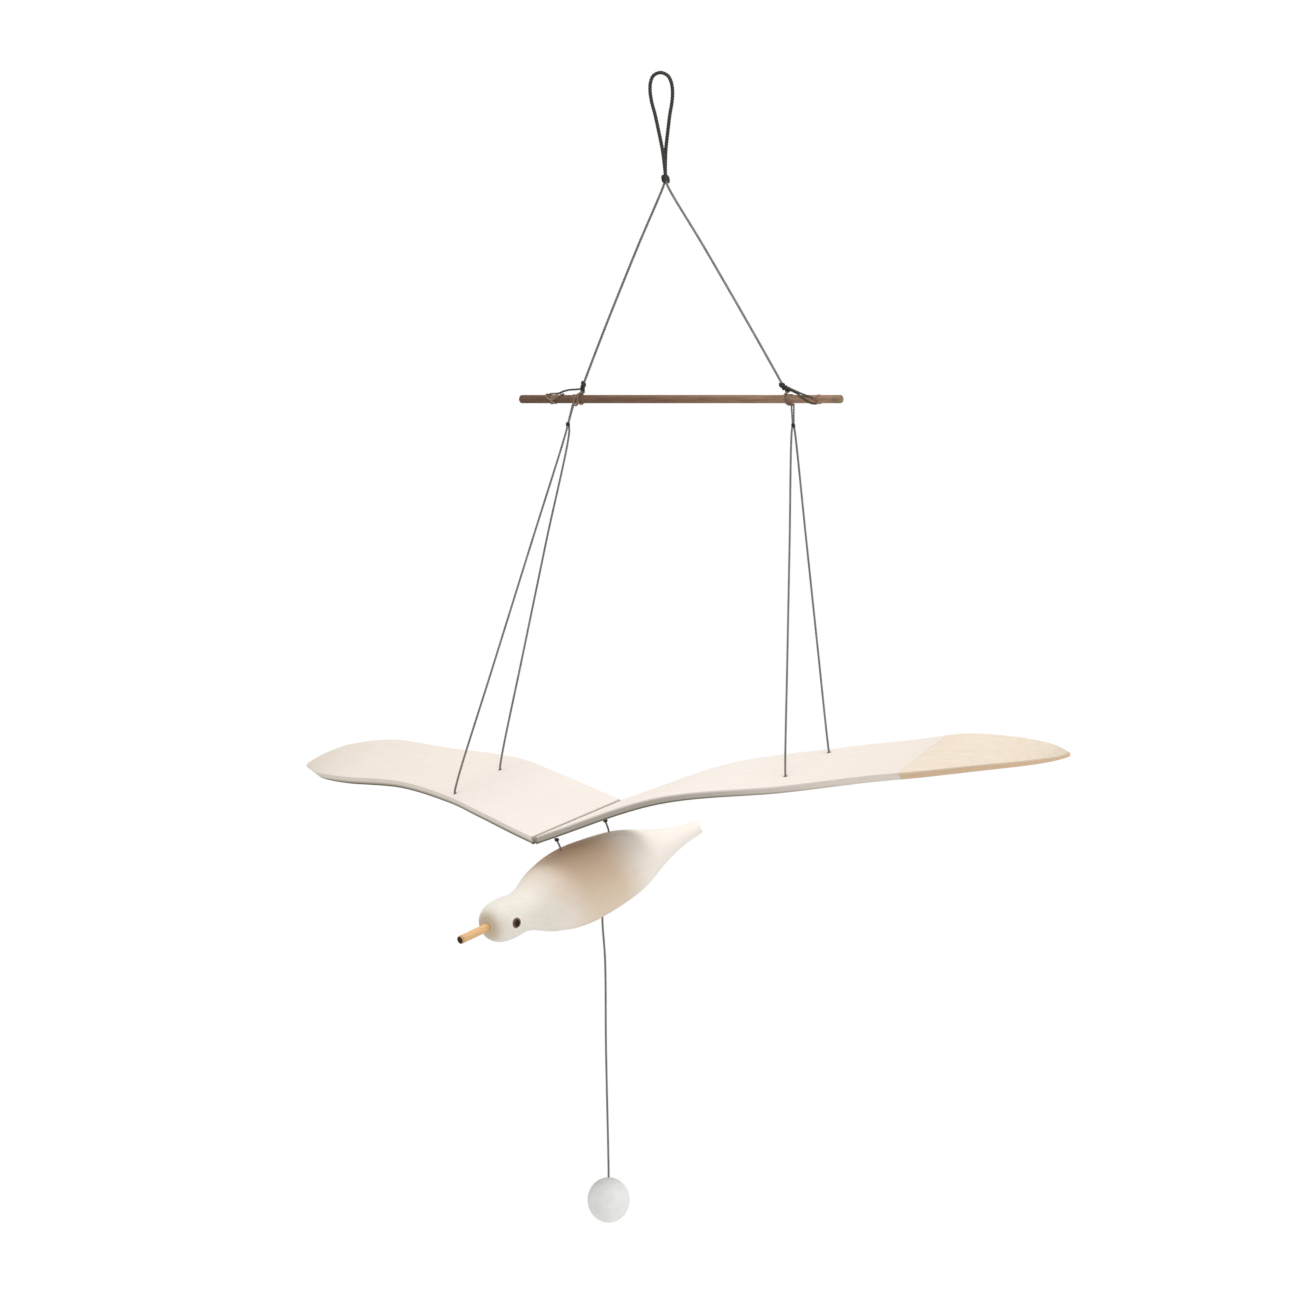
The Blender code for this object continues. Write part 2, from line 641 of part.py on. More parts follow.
def pull_cord_route():
    """From inside the belly straight down, then with a slight sway to the ball."""
    belly = on_body(PULL_CORD_BACK, 180.0)
    upwards = Vector((0.0, 0.0, 1.0))
    top = belly + upwards * PULL_CORD_SUNK
    end = ball_at() + upwards * (BALL_HEIGHT / 2 - BALL_HOLE_DEPTH + GAP)
    leave = belly - upwards * PULL_CORD_STRAIGHT
    enter = end + upwards * (BALL_HOLE_DEPTH + PULL_CORD_STRAIGHT)
    sway = [leave.lerp(enter, share) + Vector((0.0, aside, 0.0)) for share, aside in PULL_CORD_SWAY]
    return [top, leave] + sway + [enter, end]


def make_ball():
    """A nearly round wooden ball with a blind hole that the pull cord is glued into."""
    shape = bmesh.new()
    bmesh.ops.create_uvsphere(shape, u_segments=20, v_segments=14, radius=0.5)
    bmesh.ops.scale(shape, vec=(BALL_WIDTH, BALL_WIDTH, BALL_HEIGHT), verts=shape.verts)
    ball = mesh_object("ball", shape, PARTS, BALL_PAINT)
    ball.location = ball_at()
    above = ball_at() + Vector((0.0, 0.0, BALL_HEIGHT / 2 + CUT_PAST))
    drill(ball, "ball_hole", above, (0.0, 0.0, -1.0), CORD_DIAMETER + 2 * GAP,
          CUT_PAST + BALL_HOLE_DEPTH)
    shade_round(ball, 60.0)
    return ball


make_loop()
make_loop_knot()
make_rod()
for side, hand in ((1.0, "left"), (-1.0, "right")):
    make_leg("leg_cord_" + hand, side)
    make_tie("rod_tie_" + hand, side)
    make_drop("strand_bead_" + hand, side)
    make_wing("wing_" + hand, side)
    make_strand("strand_" + hand + "_front", side, "front", -1.0)
    make_strand("strand_" + hand + "_rear", side, "rear", 1.0)
    make_eye("eye_" + hand, side)
make_body()
make_beak()
for link in LINK_KNOTS:
    make_link(*link)
cord_curve("pull_cord", smooth_route(pull_cord_route()))
make_ball()
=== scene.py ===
from math import cos, pi, radians, sin

import bpy
import numpy as np
from mathutils import Matrix, Vector
from mathutils.kdtree import KDTree


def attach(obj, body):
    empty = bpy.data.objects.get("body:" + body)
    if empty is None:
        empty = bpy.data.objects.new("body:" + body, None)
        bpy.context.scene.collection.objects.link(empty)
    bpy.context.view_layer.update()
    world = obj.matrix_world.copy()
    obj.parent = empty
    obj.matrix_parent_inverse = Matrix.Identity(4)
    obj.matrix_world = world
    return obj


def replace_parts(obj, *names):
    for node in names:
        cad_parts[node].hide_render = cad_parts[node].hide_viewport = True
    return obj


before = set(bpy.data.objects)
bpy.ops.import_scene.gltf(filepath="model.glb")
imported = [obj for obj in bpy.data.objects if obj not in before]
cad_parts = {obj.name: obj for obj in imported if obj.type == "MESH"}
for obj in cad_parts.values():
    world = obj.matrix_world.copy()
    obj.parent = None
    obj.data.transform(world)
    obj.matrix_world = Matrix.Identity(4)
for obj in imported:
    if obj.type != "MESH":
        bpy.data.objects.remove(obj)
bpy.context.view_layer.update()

# The picture is a level, straight view from the bird's left front, without perspective.
# The ornament hangs free in front of plain white, in soft even light from above.
PICTURE_SIDE = 1305
PIXEL = 0.00049
HOOK_PIXEL = (660.5, 74.0)
VIEW_TURN = radians(48.0)
CAMERA_AWAY = 6.0
FLOOR_HEIGHT = -0.95
FLOOR_SIDE = 30.0
FLOOR_COLOUR = (0.83, 0.83, 0.82, 1.0)
FLOOR_ROUGHNESS = 0.9
LAMP_AIM = Vector((0.0, -0.05, -0.35))
LAMP_AWAY = 2.2
LAMP_SIDE = 1.4
# Two large square lamps look at the bird: the turn and rise of each in degrees, and its power.
LAMPS = {"key_light": (30.0, 76.0, 23.0), "fill_light": (70.0, -15.0, 14.0)}
GLOW_COLOUR = (1.0, 0.995, 0.985, 1.0)
GLOW_STRENGTH = 0.72

view_right = Vector((cos(VIEW_TURN), sin(VIEW_TURN), 0.0))
view_back = Vector((sin(VIEW_TURN), -cos(VIEW_TURN), 0.0))
upwards = Vector((0.0, 0.0, 1.0))
picture_middle = (view_right * (PICTURE_SIDE / 2 - HOOK_PIXEL[0])
                  + upwards * (HOOK_PIXEL[1] - PICTURE_SIDE / 2)) * PIXEL
bpy.ops.object.camera_add(location=picture_middle + view_back * CAMERA_AWAY,
                          rotation=(radians(90), 0.0, VIEW_TURN))
camera = bpy.context.object
camera.data.type = "ORTHO"
camera.data.ortho_scale = PICTURE_SIDE * PIXEL
bpy.context.scene.camera = camera
bpy.context.scene.view_settings.view_transform = "Standard"

for name, (turn, rise, power) in LAMPS.items():
    turned = VIEW_TURN + radians(turn)
    raised = radians(rise)
    out = Vector((sin(turned) * cos(raised), -cos(turned) * cos(raised), sin(raised)))
    bpy.ops.object.light_add(type="AREA", location=LAMP_AIM + out * LAMP_AWAY)
    lamp = bpy.context.object
    lamp.name = name
    lamp.rotation_euler = out.to_track_quat("Z", "Y").to_euler()
    lamp.data.size = LAMP_SIDE
    lamp.data.energy = power

world = bpy.data.worlds.new("studio")
bpy.context.scene.world = world
world.use_nodes = True
sky = world.node_tree
glow = sky.nodes["Background"]
glow.inputs["Color"].default_value = GLOW_COLOUR
glow.inputs["Strength"].default_value = GLOW_STRENGTH
backdrop = sky.nodes.new("ShaderNodeBackground")
backdrop.inputs["Color"].default_value = (1.0, 1.0, 1.0, 1.0)
seen = sky.nodes.new("ShaderNodeLightPath")
either = sky.nodes.new("ShaderNodeMixShader")
sky.links.new(seen.outputs["Is Camera Ray"], either.inputs["Fac"])
sky.links.new(glow.outputs["Background"], either.inputs[1])
sky.links.new(backdrop.outputs["Background"], either.inputs[2])
sky.links.new(either.outputs["Shader"], sky.nodes["World Output"].inputs["Surface"])

bpy.ops.mesh.primitive_plane_add(size=FLOOR_SIDE, location=(0.0, 0.0, FLOOR_HEIGHT))
floor = bpy.context.object
floor.name = "floor"
floor_paint = bpy.data.materials.new("floor_paint")
floor_paint.use_nodes = True
floor_shader = floor_paint.node_tree.nodes["Principled BSDF"]
floor_shader.inputs["Base Color"].default_value = FLOOR_COLOUR
floor_shader.inputs["Roughness"].default_value = FLOOR_ROUGHNESS
floor.data.materials.append(floor_paint)


# Hanging cord: one length of thin waxed cord, three plies twisted together.
# It is doubled into a loop for the hook, handled dark and fuller there, and knotted below it.
# Its two paler legs run taut to the rod and carry it.
CORD_DIAMETER = 0.0013
LOOP_DIAMETER = 0.0019
CORD_TURN_LENGTH = 0.0042
CORD_STEP = 0.0003
PLY_DEPTH = 0.16
PLY_POINTS = 15
# Colours of a cord's grooves, darker with painted shade, of its crests and of its rubbed fibres.
WAXED_COLOURS = ((0.090, 0.086, 0.081), (0.320, 0.308, 0.290), (0.44, 0.43, 0.41))
DARK_COLOURS = ((0.016, 0.015, 0.012), (0.072, 0.066, 0.058), (0.13, 0.12, 0.10))
FIBRE_SCALE = 5200.0
# How strong a bump is and how deep, and a roughness with what the pattern adds to it.
FIBRE_RELIEF = (0.5, 0.00012)
FIBRE_ROUGHNESS = (0.66, 0.25)
WORN_RANGE = (0.52, 0.75)
AGED_SCALE = 160.0
# A tone's value where it sets in, its value where it is full, its strength and its colour.
AGED_TONE = (0.30, 0.80, 0.5, (0.45, 0.42, 0.40, 1.0))
LOOP_TURN = radians(48.0)
LOOP_KNOT_AT = Vector((0.0037, 0.0, -0.0515))
LOOP_SIDE_ROUTE = [(0.0, 0.0007, 0.0), (0.0034, -0.0007, 0.0), (0.0050, -0.0038, 0.0),
                   (0.0055, -0.0083, 0.0), (0.0050, -0.0135, 0.0), (0.0036, -0.0200, 0.0),
                   (0.0022, -0.0285, 10.0), (0.0012, -0.0360, 35.0), (0.0009, -0.0420, 65.0),
                   (0.0009, -0.0488, 90.0), (0.0004, -0.0512, 90.0)]
LEG_ROUTES = {
    "left": [(0.00410, 0.0, -0.05200), (0.00500, 0.0, -0.05440), (0.03302, -0.00159, -0.08403),
             (0.06878, -0.00371, -0.12273), (0.09440, -0.00530, -0.15115),
             (0.09530, -0.00530, -0.15230)],
    "right": [(0.00330, 0.0, -0.05200), (0.00240, 0.0, -0.05440), (-0.01455, -0.00159, -0.08403),
              (-0.03555, -0.00371, -0.12273), (-0.05010, -0.00530, -0.15115),
              (-0.05090, -0.00530, -0.15260)]}


def calc(tree, operation, *values):
    """One Math node, fed by sockets or plain numbers."""
    node = tree.nodes.new("ShaderNodeMath")
    node.operation = operation
    for socket, value in zip(node.inputs, values):
        if isinstance(value, (int, float)):
            socket.default_value = value
        else:
            tree.links.new(value, socket)
    return node.outputs["Value"]


def blend_colour(tree, share, first, second, kind="MIX"):
    """One Mix node for colours, fed by sockets or plain colours."""
    node = tree.nodes.new("ShaderNodeMix")
    node.data_type = "RGBA"
    node.blend_type = kind
    for socket, value in zip((node.inputs[0], node.inputs[6], node.inputs[7]), (share, first, second)):
        if isinstance(value, bpy.types.NodeSocket):
            tree.links.new(value, socket)
        else:
            socket.default_value = value
    return node.outputs[2]


def times(tree, first, second):
    return calc(tree, "MULTIPLY", first, second)


def between(tree, value, low, high):
    """0 below low and 1 above high, with a smooth rise; low may lie above high."""
    node = tree.nodes.new("ShaderNodeMapRange")
    node.interpolation_type = "SMOOTHSTEP"
    tree.links.new(value, node.inputs["Value"])
    node.inputs["From Min"].default_value = low
    node.inputs["From Max"].default_value = high
    return node.outputs["Result"]


def toned(tree, colour, value, tone, kind="MIX"):
    """Lay a tone over a colour, between the two values that the tone names."""
    low, high, strength, over = tone
    share = times(tree, between(tree, value, low, high), strength)
    return blend_colour(tree, share, colour, over, kind)


def noise(tree, vector, scale, detail=3.0, rough=0.55):
    node = tree.nodes.new("ShaderNodeTexNoise")
    tree.links.new(vector, node.inputs["Vector"])
    node.inputs["Scale"].default_value = scale
    node.inputs["Detail"].default_value = detail
    node.inputs["Roughness"].default_value = rough
    return node.outputs["Fac"]


def stretched(tree, vector, turn, scale):
    """Coordinates turned and stretched, so that a pattern runs along a piece."""
    node = tree.nodes.new("ShaderNodeMapping")
    tree.links.new(vector, node.inputs["Vector"])
    node.inputs["Rotation"].default_value = turn
    node.inputs["Scale"].default_value = scale
    return node.outputs["Vector"]


def object_place(tree):
    return tree.nodes.new("ShaderNodeTexCoord").outputs["Object"]


def attribute(tree, name):
    node = tree.nodes.new("ShaderNodeAttribute")
    node.attribute_name = name
    return node.outputs["Fac"]


def bumped(tree, height, strength, distance):
    node = tree.nodes.new("ShaderNodeBump")
    node.inputs["Strength"].default_value = strength
    node.inputs["Distance"].default_value = distance
    tree.links.new(height, node.inputs["Height"])
    return node.outputs["Normal"]


def new_material(name, **plain):
    """A material whose shader has these plain values, with its tree and its shader."""
    made = bpy.data.materials.new(name)
    made.use_nodes = True
    shader = made.node_tree.nodes["Principled BSDF"]
    for socket, value in plain.items():
        shader.inputs[socket.replace("_", " ")].default_value = value
    return made, made.node_tree, shader


def rising(tree, value, start, rise):
    """A number that starts at one value and rises with another."""
    return calc(tree, "ADD", start, times(tree, value, rise))


def feed(tree, shader, colour, roughness, height, relief):
    """Give a material's shader its colour, its roughness and its relief."""
    tree.links.new(colour, shader.inputs["Base Color"])
    tree.links.new(roughness, shader.inputs["Roughness"])
    tree.links.new(bumped(tree, height, *relief), shader.inputs["Normal"])


def cord_material(name, groove, crest, rubbed):
    """Twisted fibre: plies of one colour, darker with painted shade in their grooves, with paler rubbed
    crests.
    """
    made, tree, shader = new_material(name, Specular_IOR_Level=0.3)
    place = object_place(tree)
    fibres = noise(tree, place, FIBRE_SCALE, 2.0)
    ply = blend_colour(tree, attribute(tree, "crest"), (*groove, 1.0), (*crest, 1.0))
    worn = blend_colour(tree, between(tree, fibres, *WORN_RANGE), ply, (*rubbed, 1.0))
    aged = toned(tree, worn, noise(tree, place, AGED_SCALE, 2.0), AGED_TONE, "MULTIPLY")
    feed(tree, shader, aged, rising(tree, fibres, *FIBRE_ROUGHNESS), fibres, FIBRE_RELIEF)
    return made


WAXED_CORD = cord_material("waxed_cord", *WAXED_COLOURS)
DARK_CORD = cord_material("dark_cord", *DARK_COLOURS)


def even_points(route, spacing):
    """Points at an even spacing on a smooth curve through a cord's route, taut where it is straight."""
    route = np.array([tuple(point) for point in route])
    padded = np.vstack([2 * route[0] - route[1], route, 2 * route[-1] - route[-2]])
    fine = []
    for before, here, there, after in zip(padded, padded[1:], padded[2:], padded[3:]):
        in_gap, gap, out_gap = [np.linalg.norm(end - start) ** 0.5
                                for start, end in ((before, here), (here, there), (there, after))]
        leaving = there - here + gap * ((here - before) / in_gap - (there - before) / (in_gap + gap))
        arriving = there - here + gap * ((after - there) / out_gap - (after - here) / (gap + out_gap))
        for f in np.arange(0.0, 1.0, 0.025):
            fine.append((2 * f ** 3 - 3 * f ** 2 + 1) * here + (f ** 3 - 2 * f ** 2 + f) * leaving
                        + (3 * f ** 2 - 2 * f ** 3) * there + (f ** 3 - f ** 2) * arriving)
    fine = np.array(fine + [route[-1]])
    run = np.concatenate([[0.0], np.cumsum(np.linalg.norm(np.diff(fine, axis=0), axis=1))])
    wanted = np.linspace(0.0, run[-1], max(3, int(round(run[-1] / spacing))) + 1)
    return np.column_stack([np.interp(wanted, run, fine[:, axis]) for axis in range(3)])


def route_length(points):
    return float(np.linalg.norm(np.diff(np.array(points), axis=0), axis=1).sum())


def select_only(piece):
    bpy.ops.object.select_all(action="DESELECT")
    piece.select_set(True)
    bpy.context.view_layer.objects.active = piece


def shade_smooth(piece, degrees):
    """Shade a piece smooth, except over edges that are sharper than this."""
    select_only(piece)
    bpy.ops.object.shade_smooth_by_angle(angle=radians(degrees))


def join_points(threshold):
    """Join the points that lie together, and turn all faces of the piece outwards."""
    bpy.ops.object.mode_set(mode="EDIT")
    bpy.ops.mesh.select_all(action="SELECT")
    bpy.ops.mesh.remove_doubles(threshold=threshold)
    bpy.ops.mesh.normals_make_consistent(inside=False)
    bpy.ops.object.mode_set(mode="OBJECT")


def ply_outline(diameter):
    """The cord's cross-section: three round plies side by side."""
    data = bpy.data.curves.new("ply_outline", "CURVE")
    spline = data.splines.new("POLY")
    spline.points.add(PLY_POINTS - 1)
    spline.use_cyclic_u = True
    for index, point in enumerate(spline.points):
        angle = -2 * pi * index / PLY_POINTS
        radius = diameter / 2 * (1 - PLY_DEPTH * (0.5 - 0.5 * cos(3 * angle)))
        point.co = (radius * cos(angle), radius * sin(angle), 0.0, 1.0)
    made = bpy.data.objects.new("ply_outline", data)
    bpy.context.scene.collection.objects.link(made)
    return made


def mark_crests(piece, points, diameter):
    """Give each point of a cord's mesh its height between a groove, 0, and a ply's crest, 1."""
    tree = KDTree(len(points))
    for index, point in enumerate(points):
        tree.insert(point, index)
    tree.balance()
    reach = np.array([tree.find(vertex.co)[2] for vertex in piece.data.vertices])
    share = np.clip((2 * reach / diameter - (1 - PLY_DEPTH)) / PLY_DEPTH, 0.0, 1.0)
    crest = piece.data.attributes.new("crest", "FLOAT", "POINT")
    crest.data.foreach_set("value", share.astype(np.float32))


def lay_cord(name, points, body, diameter=CORD_DIAMETER, look=WAXED_CORD, closed=False):
    """A twisted cord along these points, as a mesh with the turns of its plies."""
    data = bpy.data.curves.new(name, "CURVE")
    data.dimensions = "3D"
    data.bevel_mode = "OBJECT"
    data.bevel_object = ply_outline(diameter)
    data.use_fill_caps = not closed
    spline = data.splines.new("POLY")
    spline.points.add(len(points) - 1)
    spline.use_cyclic_u = closed
    step = route_length(points) / (len(points) - 1)
    for index, (point, at) in enumerate(zip(spline.points, points)):
        point.co = (*at, 1.0)
        point.tilt = 2 * pi * step * index / CORD_TURN_LENGTH
    cord = bpy.data.objects.new(name, data)
    bpy.context.scene.collection.objects.link(cord)
    select_only(cord)
    outline = data.bevel_object
    bpy.ops.object.convert(target="MESH")
    cord = bpy.context.object
    cord.name = name
    bpy.data.objects.remove(outline, do_unlink=True)
    join_points(0.00001)
    shade_smooth(cord, 50)
    mark_crests(cord, points, diameter)
    cord.data.materials.clear()
    cord.data.materials.append(look)
    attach(cord, body)
    return cord


def free_cord(name, route, body, node, diameter=CORD_DIAMETER, look=WAXED_CORD):
    """A cord that runs free between two pieces, shown in place of the model's own part."""
    points = even_points(route, CORD_STEP)
    cord = lay_cord(name, points, body, diameter, look)
    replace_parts(cord, node)
    return cord


def loop_point(offset, height, twist):
    """A point of the loop, whose two sides run over each other above the knot."""
    lean = LOOP_KNOT_AT * (height / LOOP_KNOT_AT.z)
    turn = LOOP_TURN + radians(twist)
    return (lean.x + offset * cos(turn), lean.y + offset * sin(turn), height)


far_side = [loop_point(-offset, height, twist) for offset, height, twist in LOOP_SIDE_ROUTE[:0:-1]]
near_side = [loop_point(*row) for row in LOOP_SIDE_ROUTE]
free_cord("hanging_loop_cord", far_side + near_side, "hanger", "hanging_loop",
          LOOP_DIAMETER, DARK_CORD)
for hand, route in LEG_ROUTES.items():
    free_cord("leg_" + hand, route, "hanger", "leg_cord_" + hand)


# Knots: each is a plain overhand knot pulled tight in the same cord.
# The large one closes the loop; small ones stop the strands and the links.
LOOP_KNOT_SIZE = (0.0047, 0.0042, 0.0073)
SMALL_KNOT_SIZE = (0.0026, 0.0026, 0.0026)
KNOT_CORD_SHARE = 0.95
KNOT_POINTS = 60
KNOT_RISE = 1.6


def tie_knot(name, centre, size, body, turn, cord=CORD_DIAMETER * KNOT_CORD_SHARE):
    """A closed run of three crossing turns, the outside of a tight overhand knot."""
    points = []
    for index in range(KNOT_POINTS):
        t = 2 * pi * index / KNOT_POINTS
        across = Vector((sin(t) + 2 * sin(2 * t), cos(t) - 2 * cos(2 * t), -KNOT_RISE * sin(3 * t))) / 3
        reach = Vector([across[k] * (size[k] / 2 - cord / 2) for k in range(3)])
        points.append(Matrix.Rotation(turn, 3, "Z") @ reach + Vector(centre))
    return lay_cord(name, points, body, cord, DARK_CORD, closed=True)


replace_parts(tie_knot("loop_overhand_knot", LOOP_KNOT_AT, LOOP_KNOT_SIZE, "hanger", LOOP_TURN), "loop_knot")


# Rod: a brown 4 mm dowel, sawn off square, with fine grain along it. Painted shade darkens it towards its
# right end, and it is greyed at its left one. The cord ties bite on it, and it keeps its construction solid.
ROD_AT = Vector((0.0211, -0.0053, -0.1593))
ROD_LENGTH = 0.2338
ROD_DIAMETER = 0.0041
# Colour of the painted shade at the rod's right end.
ROD_PAINTED_SHADE = (0.38, 0.35, 0.34, 1.0)
ROD_END_TONE = (0.0060, 0.0035, 1.0, (0.72, 0.82, 0.84, 1.0))
# A wood's light and dark colour, and how strong its streaks, its pores and its matt look are.
ROD_WOOD = ((0.480, 0.288, 0.180, 1.0), (0.186, 0.103, 0.062, 1.0), 0.55, 0.45, 0.68)
ROD_GRAIN = (60.0, 1500.0, 1500.0)
ROD_RELIEF = (0.4, 0.0002)
WOOD_SOCKETS = {
    "INPUT": {"Along": "Vector", "Place": "Vector", "Light": "Color", "Dark": "Color",
              "Streaks": "Float", "Pores": "Float", "Polish": "Float"},
    "OUTPUT": {"Colour": "Color", "Roughness": "Float", "Height": "Float"}}
STREAK_RANGE = (0.34, 0.70)
PORE_RANGE = (0.56, 0.74)
PORE_SCALE = 4.5
PORE_ROUGHNESS = 0.15
TONE_SCALE = 22.0


def drift(tree, place, scale, detail, reach):
    """A slow wander to both sides of zero, half the reach at most."""
    return times(tree, calc(tree, "SUBTRACT", noise(tree, place, scale, detail), 0.5), reach)


def wood_group():
    """Wood seen close: long fibres, fine pores and a slow change of tone."""
    group = bpy.data.node_groups.new("wood_figure", "ShaderNodeTree")
    for in_out, sockets in WOOD_SOCKETS.items():
        for name, kind in sockets.items():
            group.interface.new_socket(name=name, in_out=in_out, socket_type="NodeSocket" + kind)
    given = group.nodes.new("NodeGroupInput")
    result = group.nodes.new("NodeGroupOutput")
    streak = between(group, noise(group, given.outputs["Along"], 1.0, 5.0, 0.6), *STREAK_RANGE)
    fine = between(group, noise(group, given.outputs["Along"], PORE_SCALE, 2.0, 0.5), *PORE_RANGE)
    figure = times(group, streak, given.outputs["Streaks"])
    marked = calc(group, "ADD", figure, times(group, fine, given.outputs["Pores"]))
    slow = drift(group, given.outputs["Place"], TONE_SCALE, 2.0, given.outputs["Streaks"])
    share = calc(group, "MINIMUM", calc(group, "MAXIMUM", calc(group, "ADD", marked, slow), 0.0), 1.0)
    colour = blend_colour(group, share, given.outputs["Light"], given.outputs["Dark"])
    group.links.new(colour, result.inputs["Colour"])
    rough = rising(group, fine, given.outputs["Polish"], PORE_ROUGHNESS)
    group.links.new(rough, result.inputs["Roughness"])
    group.links.new(calc(group, "SUBTRACT", 1.0, marked), result.inputs["Height"])
    return group


WOOD_FIGURE = wood_group()


def wood(tree, place, along, *own_values):
    """Place the wood group in a material, with this wood's own values."""
    node = tree.nodes.new("ShaderNodeGroup")
    node.node_tree = WOOD_FIGURE
    tree.links.new(along, node.inputs["Along"])
    tree.links.new(place, node.inputs["Place"])
    for name, value in zip(("Light", "Dark", "Streaks", "Pores", "Polish"), own_values):
        node.inputs[name].default_value = value
    return node


def part_of(tree, vector, axis):
    node = tree.nodes.new("ShaderNodeSeparateXYZ")
    tree.links.new(vector, node.inputs["Vector"])
    return node.outputs[axis]


def rod_material():
    made, tree, shader = new_material("rod_wood", Specular_IOR_Level=0.25)
    place = object_place(tree)
    along = stretched(tree, place, (0.0, 0.0, 0.0), ROD_GRAIN)
    grain = wood(tree, place, along, *ROD_WOOD)
    from_left = calc(tree, "SUBTRACT", ROD_AT.x + ROD_LENGTH / 2, part_of(tree, place, "X"))
    # Painted shade: the rod grows darker towards its right end.
    darker = calc(tree, "POWER", between(tree, from_left, 0.0, ROD_LENGTH), 0.5)
    colour = blend_colour(tree, darker, grain.outputs["Colour"], ROD_PAINTED_SHADE, "MULTIPLY")
    colour = toned(tree, colour, from_left, ROD_END_TONE, "MULTIPLY")
    feed(tree, shader, colour, grain.outputs["Roughness"], grain.outputs["Height"], ROD_RELIEF)
    return made


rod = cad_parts["rod"]
rod.material_slots[0].material = rod_material()


# Ties: each leg ends in a hitch round the rod, in the same cord pulled thin and stained brown.
# A knot stands on the rod, wraps bite below it, and doubled tails run out to a second wrap.
TIE_CORD_DIAMETER = 0.0010
TIE_BITE = 0.0001
TIE_STEP = 15.0
TIE_KNOT_CORD = 0.0011
TIE_KNOT_TURN = 0.8
STAINED_COLOURS = ((0.140, 0.085, 0.060), (0.400, 0.275, 0.205), (0.50, 0.37, 0.29))
TAIL_COLOURS = ((0.030, 0.027, 0.018), (0.125, 0.112, 0.082), (0.20, 0.18, 0.14))
TIE_KNOT_SIZES = {"left": (0.0036, 0.0030, 0.0040), "right": (0.0027, 0.0027, 0.0052)}
TIE_KNOTS = {"left": [(0.0949, 0.0068), (0.0970, 0.0056), (0.0991, 0.0048)],
             "right": [(-0.0505, 0.0074), (-0.0510, 0.0056), (-0.0514, 0.0041)]}
OUTWARD = {"left": 1.0, "right": -1.0}
# Each row of a tie's strand: place along the rod, degrees round it from its top over its
# front, and height above its surface.
TIE_STRANDS = {
    ("left", "wraps"): [(0.0968, 0, 0.0034), (0.0984, 0, 0.0001), (0.0984, 30, -0.0004),
                        (0.1020, 1440, -0.0004), (0.1026, 1620, -0.0005)],
    ("left", "neck"): [(0.0992, -8, 0.0026), (0.0996, -4, 0.0010), (0.0994, 60, 0.0008),
                       (0.1008, 150, 0.0006), (0.1030, 200, 0.0003)],
    ("left", "upper_tail"): [(0.0980, 0, 0.0032), (0.1022, 8, 0.0026), (0.1080, 20, 0.0012),
                             (0.1135, 42, 0.0003), (0.1188, 66, 0.0), (0.1202, 82, -0.0001)],
    ("left", "lower_tail"): [(0.0992, 0, 0.0024), (0.1036, 4, 0.0012), (0.1073, 14, 0.0002),
                             (0.1110, 60, 0.0), (0.1156, 116, 0.0), (0.1200, 190, -0.0002)],
    ("left", "end_wrap"): [(0.1188, 66, -0.0006), (0.1206, 120, -0.0005), (0.1211, 270, -0.0006),
                           (0.1213, 430, -0.0006), (0.1222, 600, -0.0004), (0.1224, 700, -0.0006),
                           (0.1226, 860, -0.0004), (0.1230, 960, -0.0006)],
    ("right", "wraps"): [(-0.0504, 0, 0.0010), (-0.0530, 70, 0.0008), (-0.0562, 180, 0.0007),
                         (-0.0578, 300, -0.0003), (-0.0574, 360, -0.0005), (-0.0530, 1440, -0.0005),
                         (-0.0526, 1530, -0.0005)],
    ("right", "neck"): [(-0.0512, 0, 0.0030), (-0.0514, 0, 0.0008), (-0.0520, 60, 0.0001),
                        (-0.0522, 180, 0.0), (-0.0522, 360, -0.0003)],
    ("right", "upper_tail"): [(-0.0511, 0, 0.0026), (-0.0560, 0, 0.0023), (-0.0611, 0, 0.0021),
                              (-0.0650, 2, 0.0014), (-0.0682, 4, 0.0004), (-0.0700, 2, 0.0001)],
    ("right", "end_wrap"): [(-0.0668, 4, 0.0006), (-0.0700, 0, 0.0003), (-0.0745, 0, 0.0002),
                            (-0.0762, -20, 0.0), (-0.0758, -90, -0.0002), (-0.0720, -200, -0.0003),
                            (-0.0716, -300, -0.0002), (-0.0690, -318, -0.0001), (-0.0709, -260, -0.0001)],
    ("right", "cross_wrap"): [(-0.0640, 14, 0.0002), (-0.0664, 52, -0.0001), (-0.0709, 100, -0.0001),
                              (-0.0738, 170, -0.0003), (-0.0765, 300, -0.0002), (-0.0770, 372, -0.0001),
                              (-0.0750, 431, 0.0), (-0.0712, 462, 0.0002), (-0.0690, 520, -0.0003)]}

STAINED_CORD = cord_material("stained_cord", *STAINED_COLOURS)
TAIL_CORD = cord_material("tail_cord", *TAIL_COLOURS)


def on_rod(along, across, up):
    return Vector((along, ROD_AT.y + across, ROD_AT.z + up))


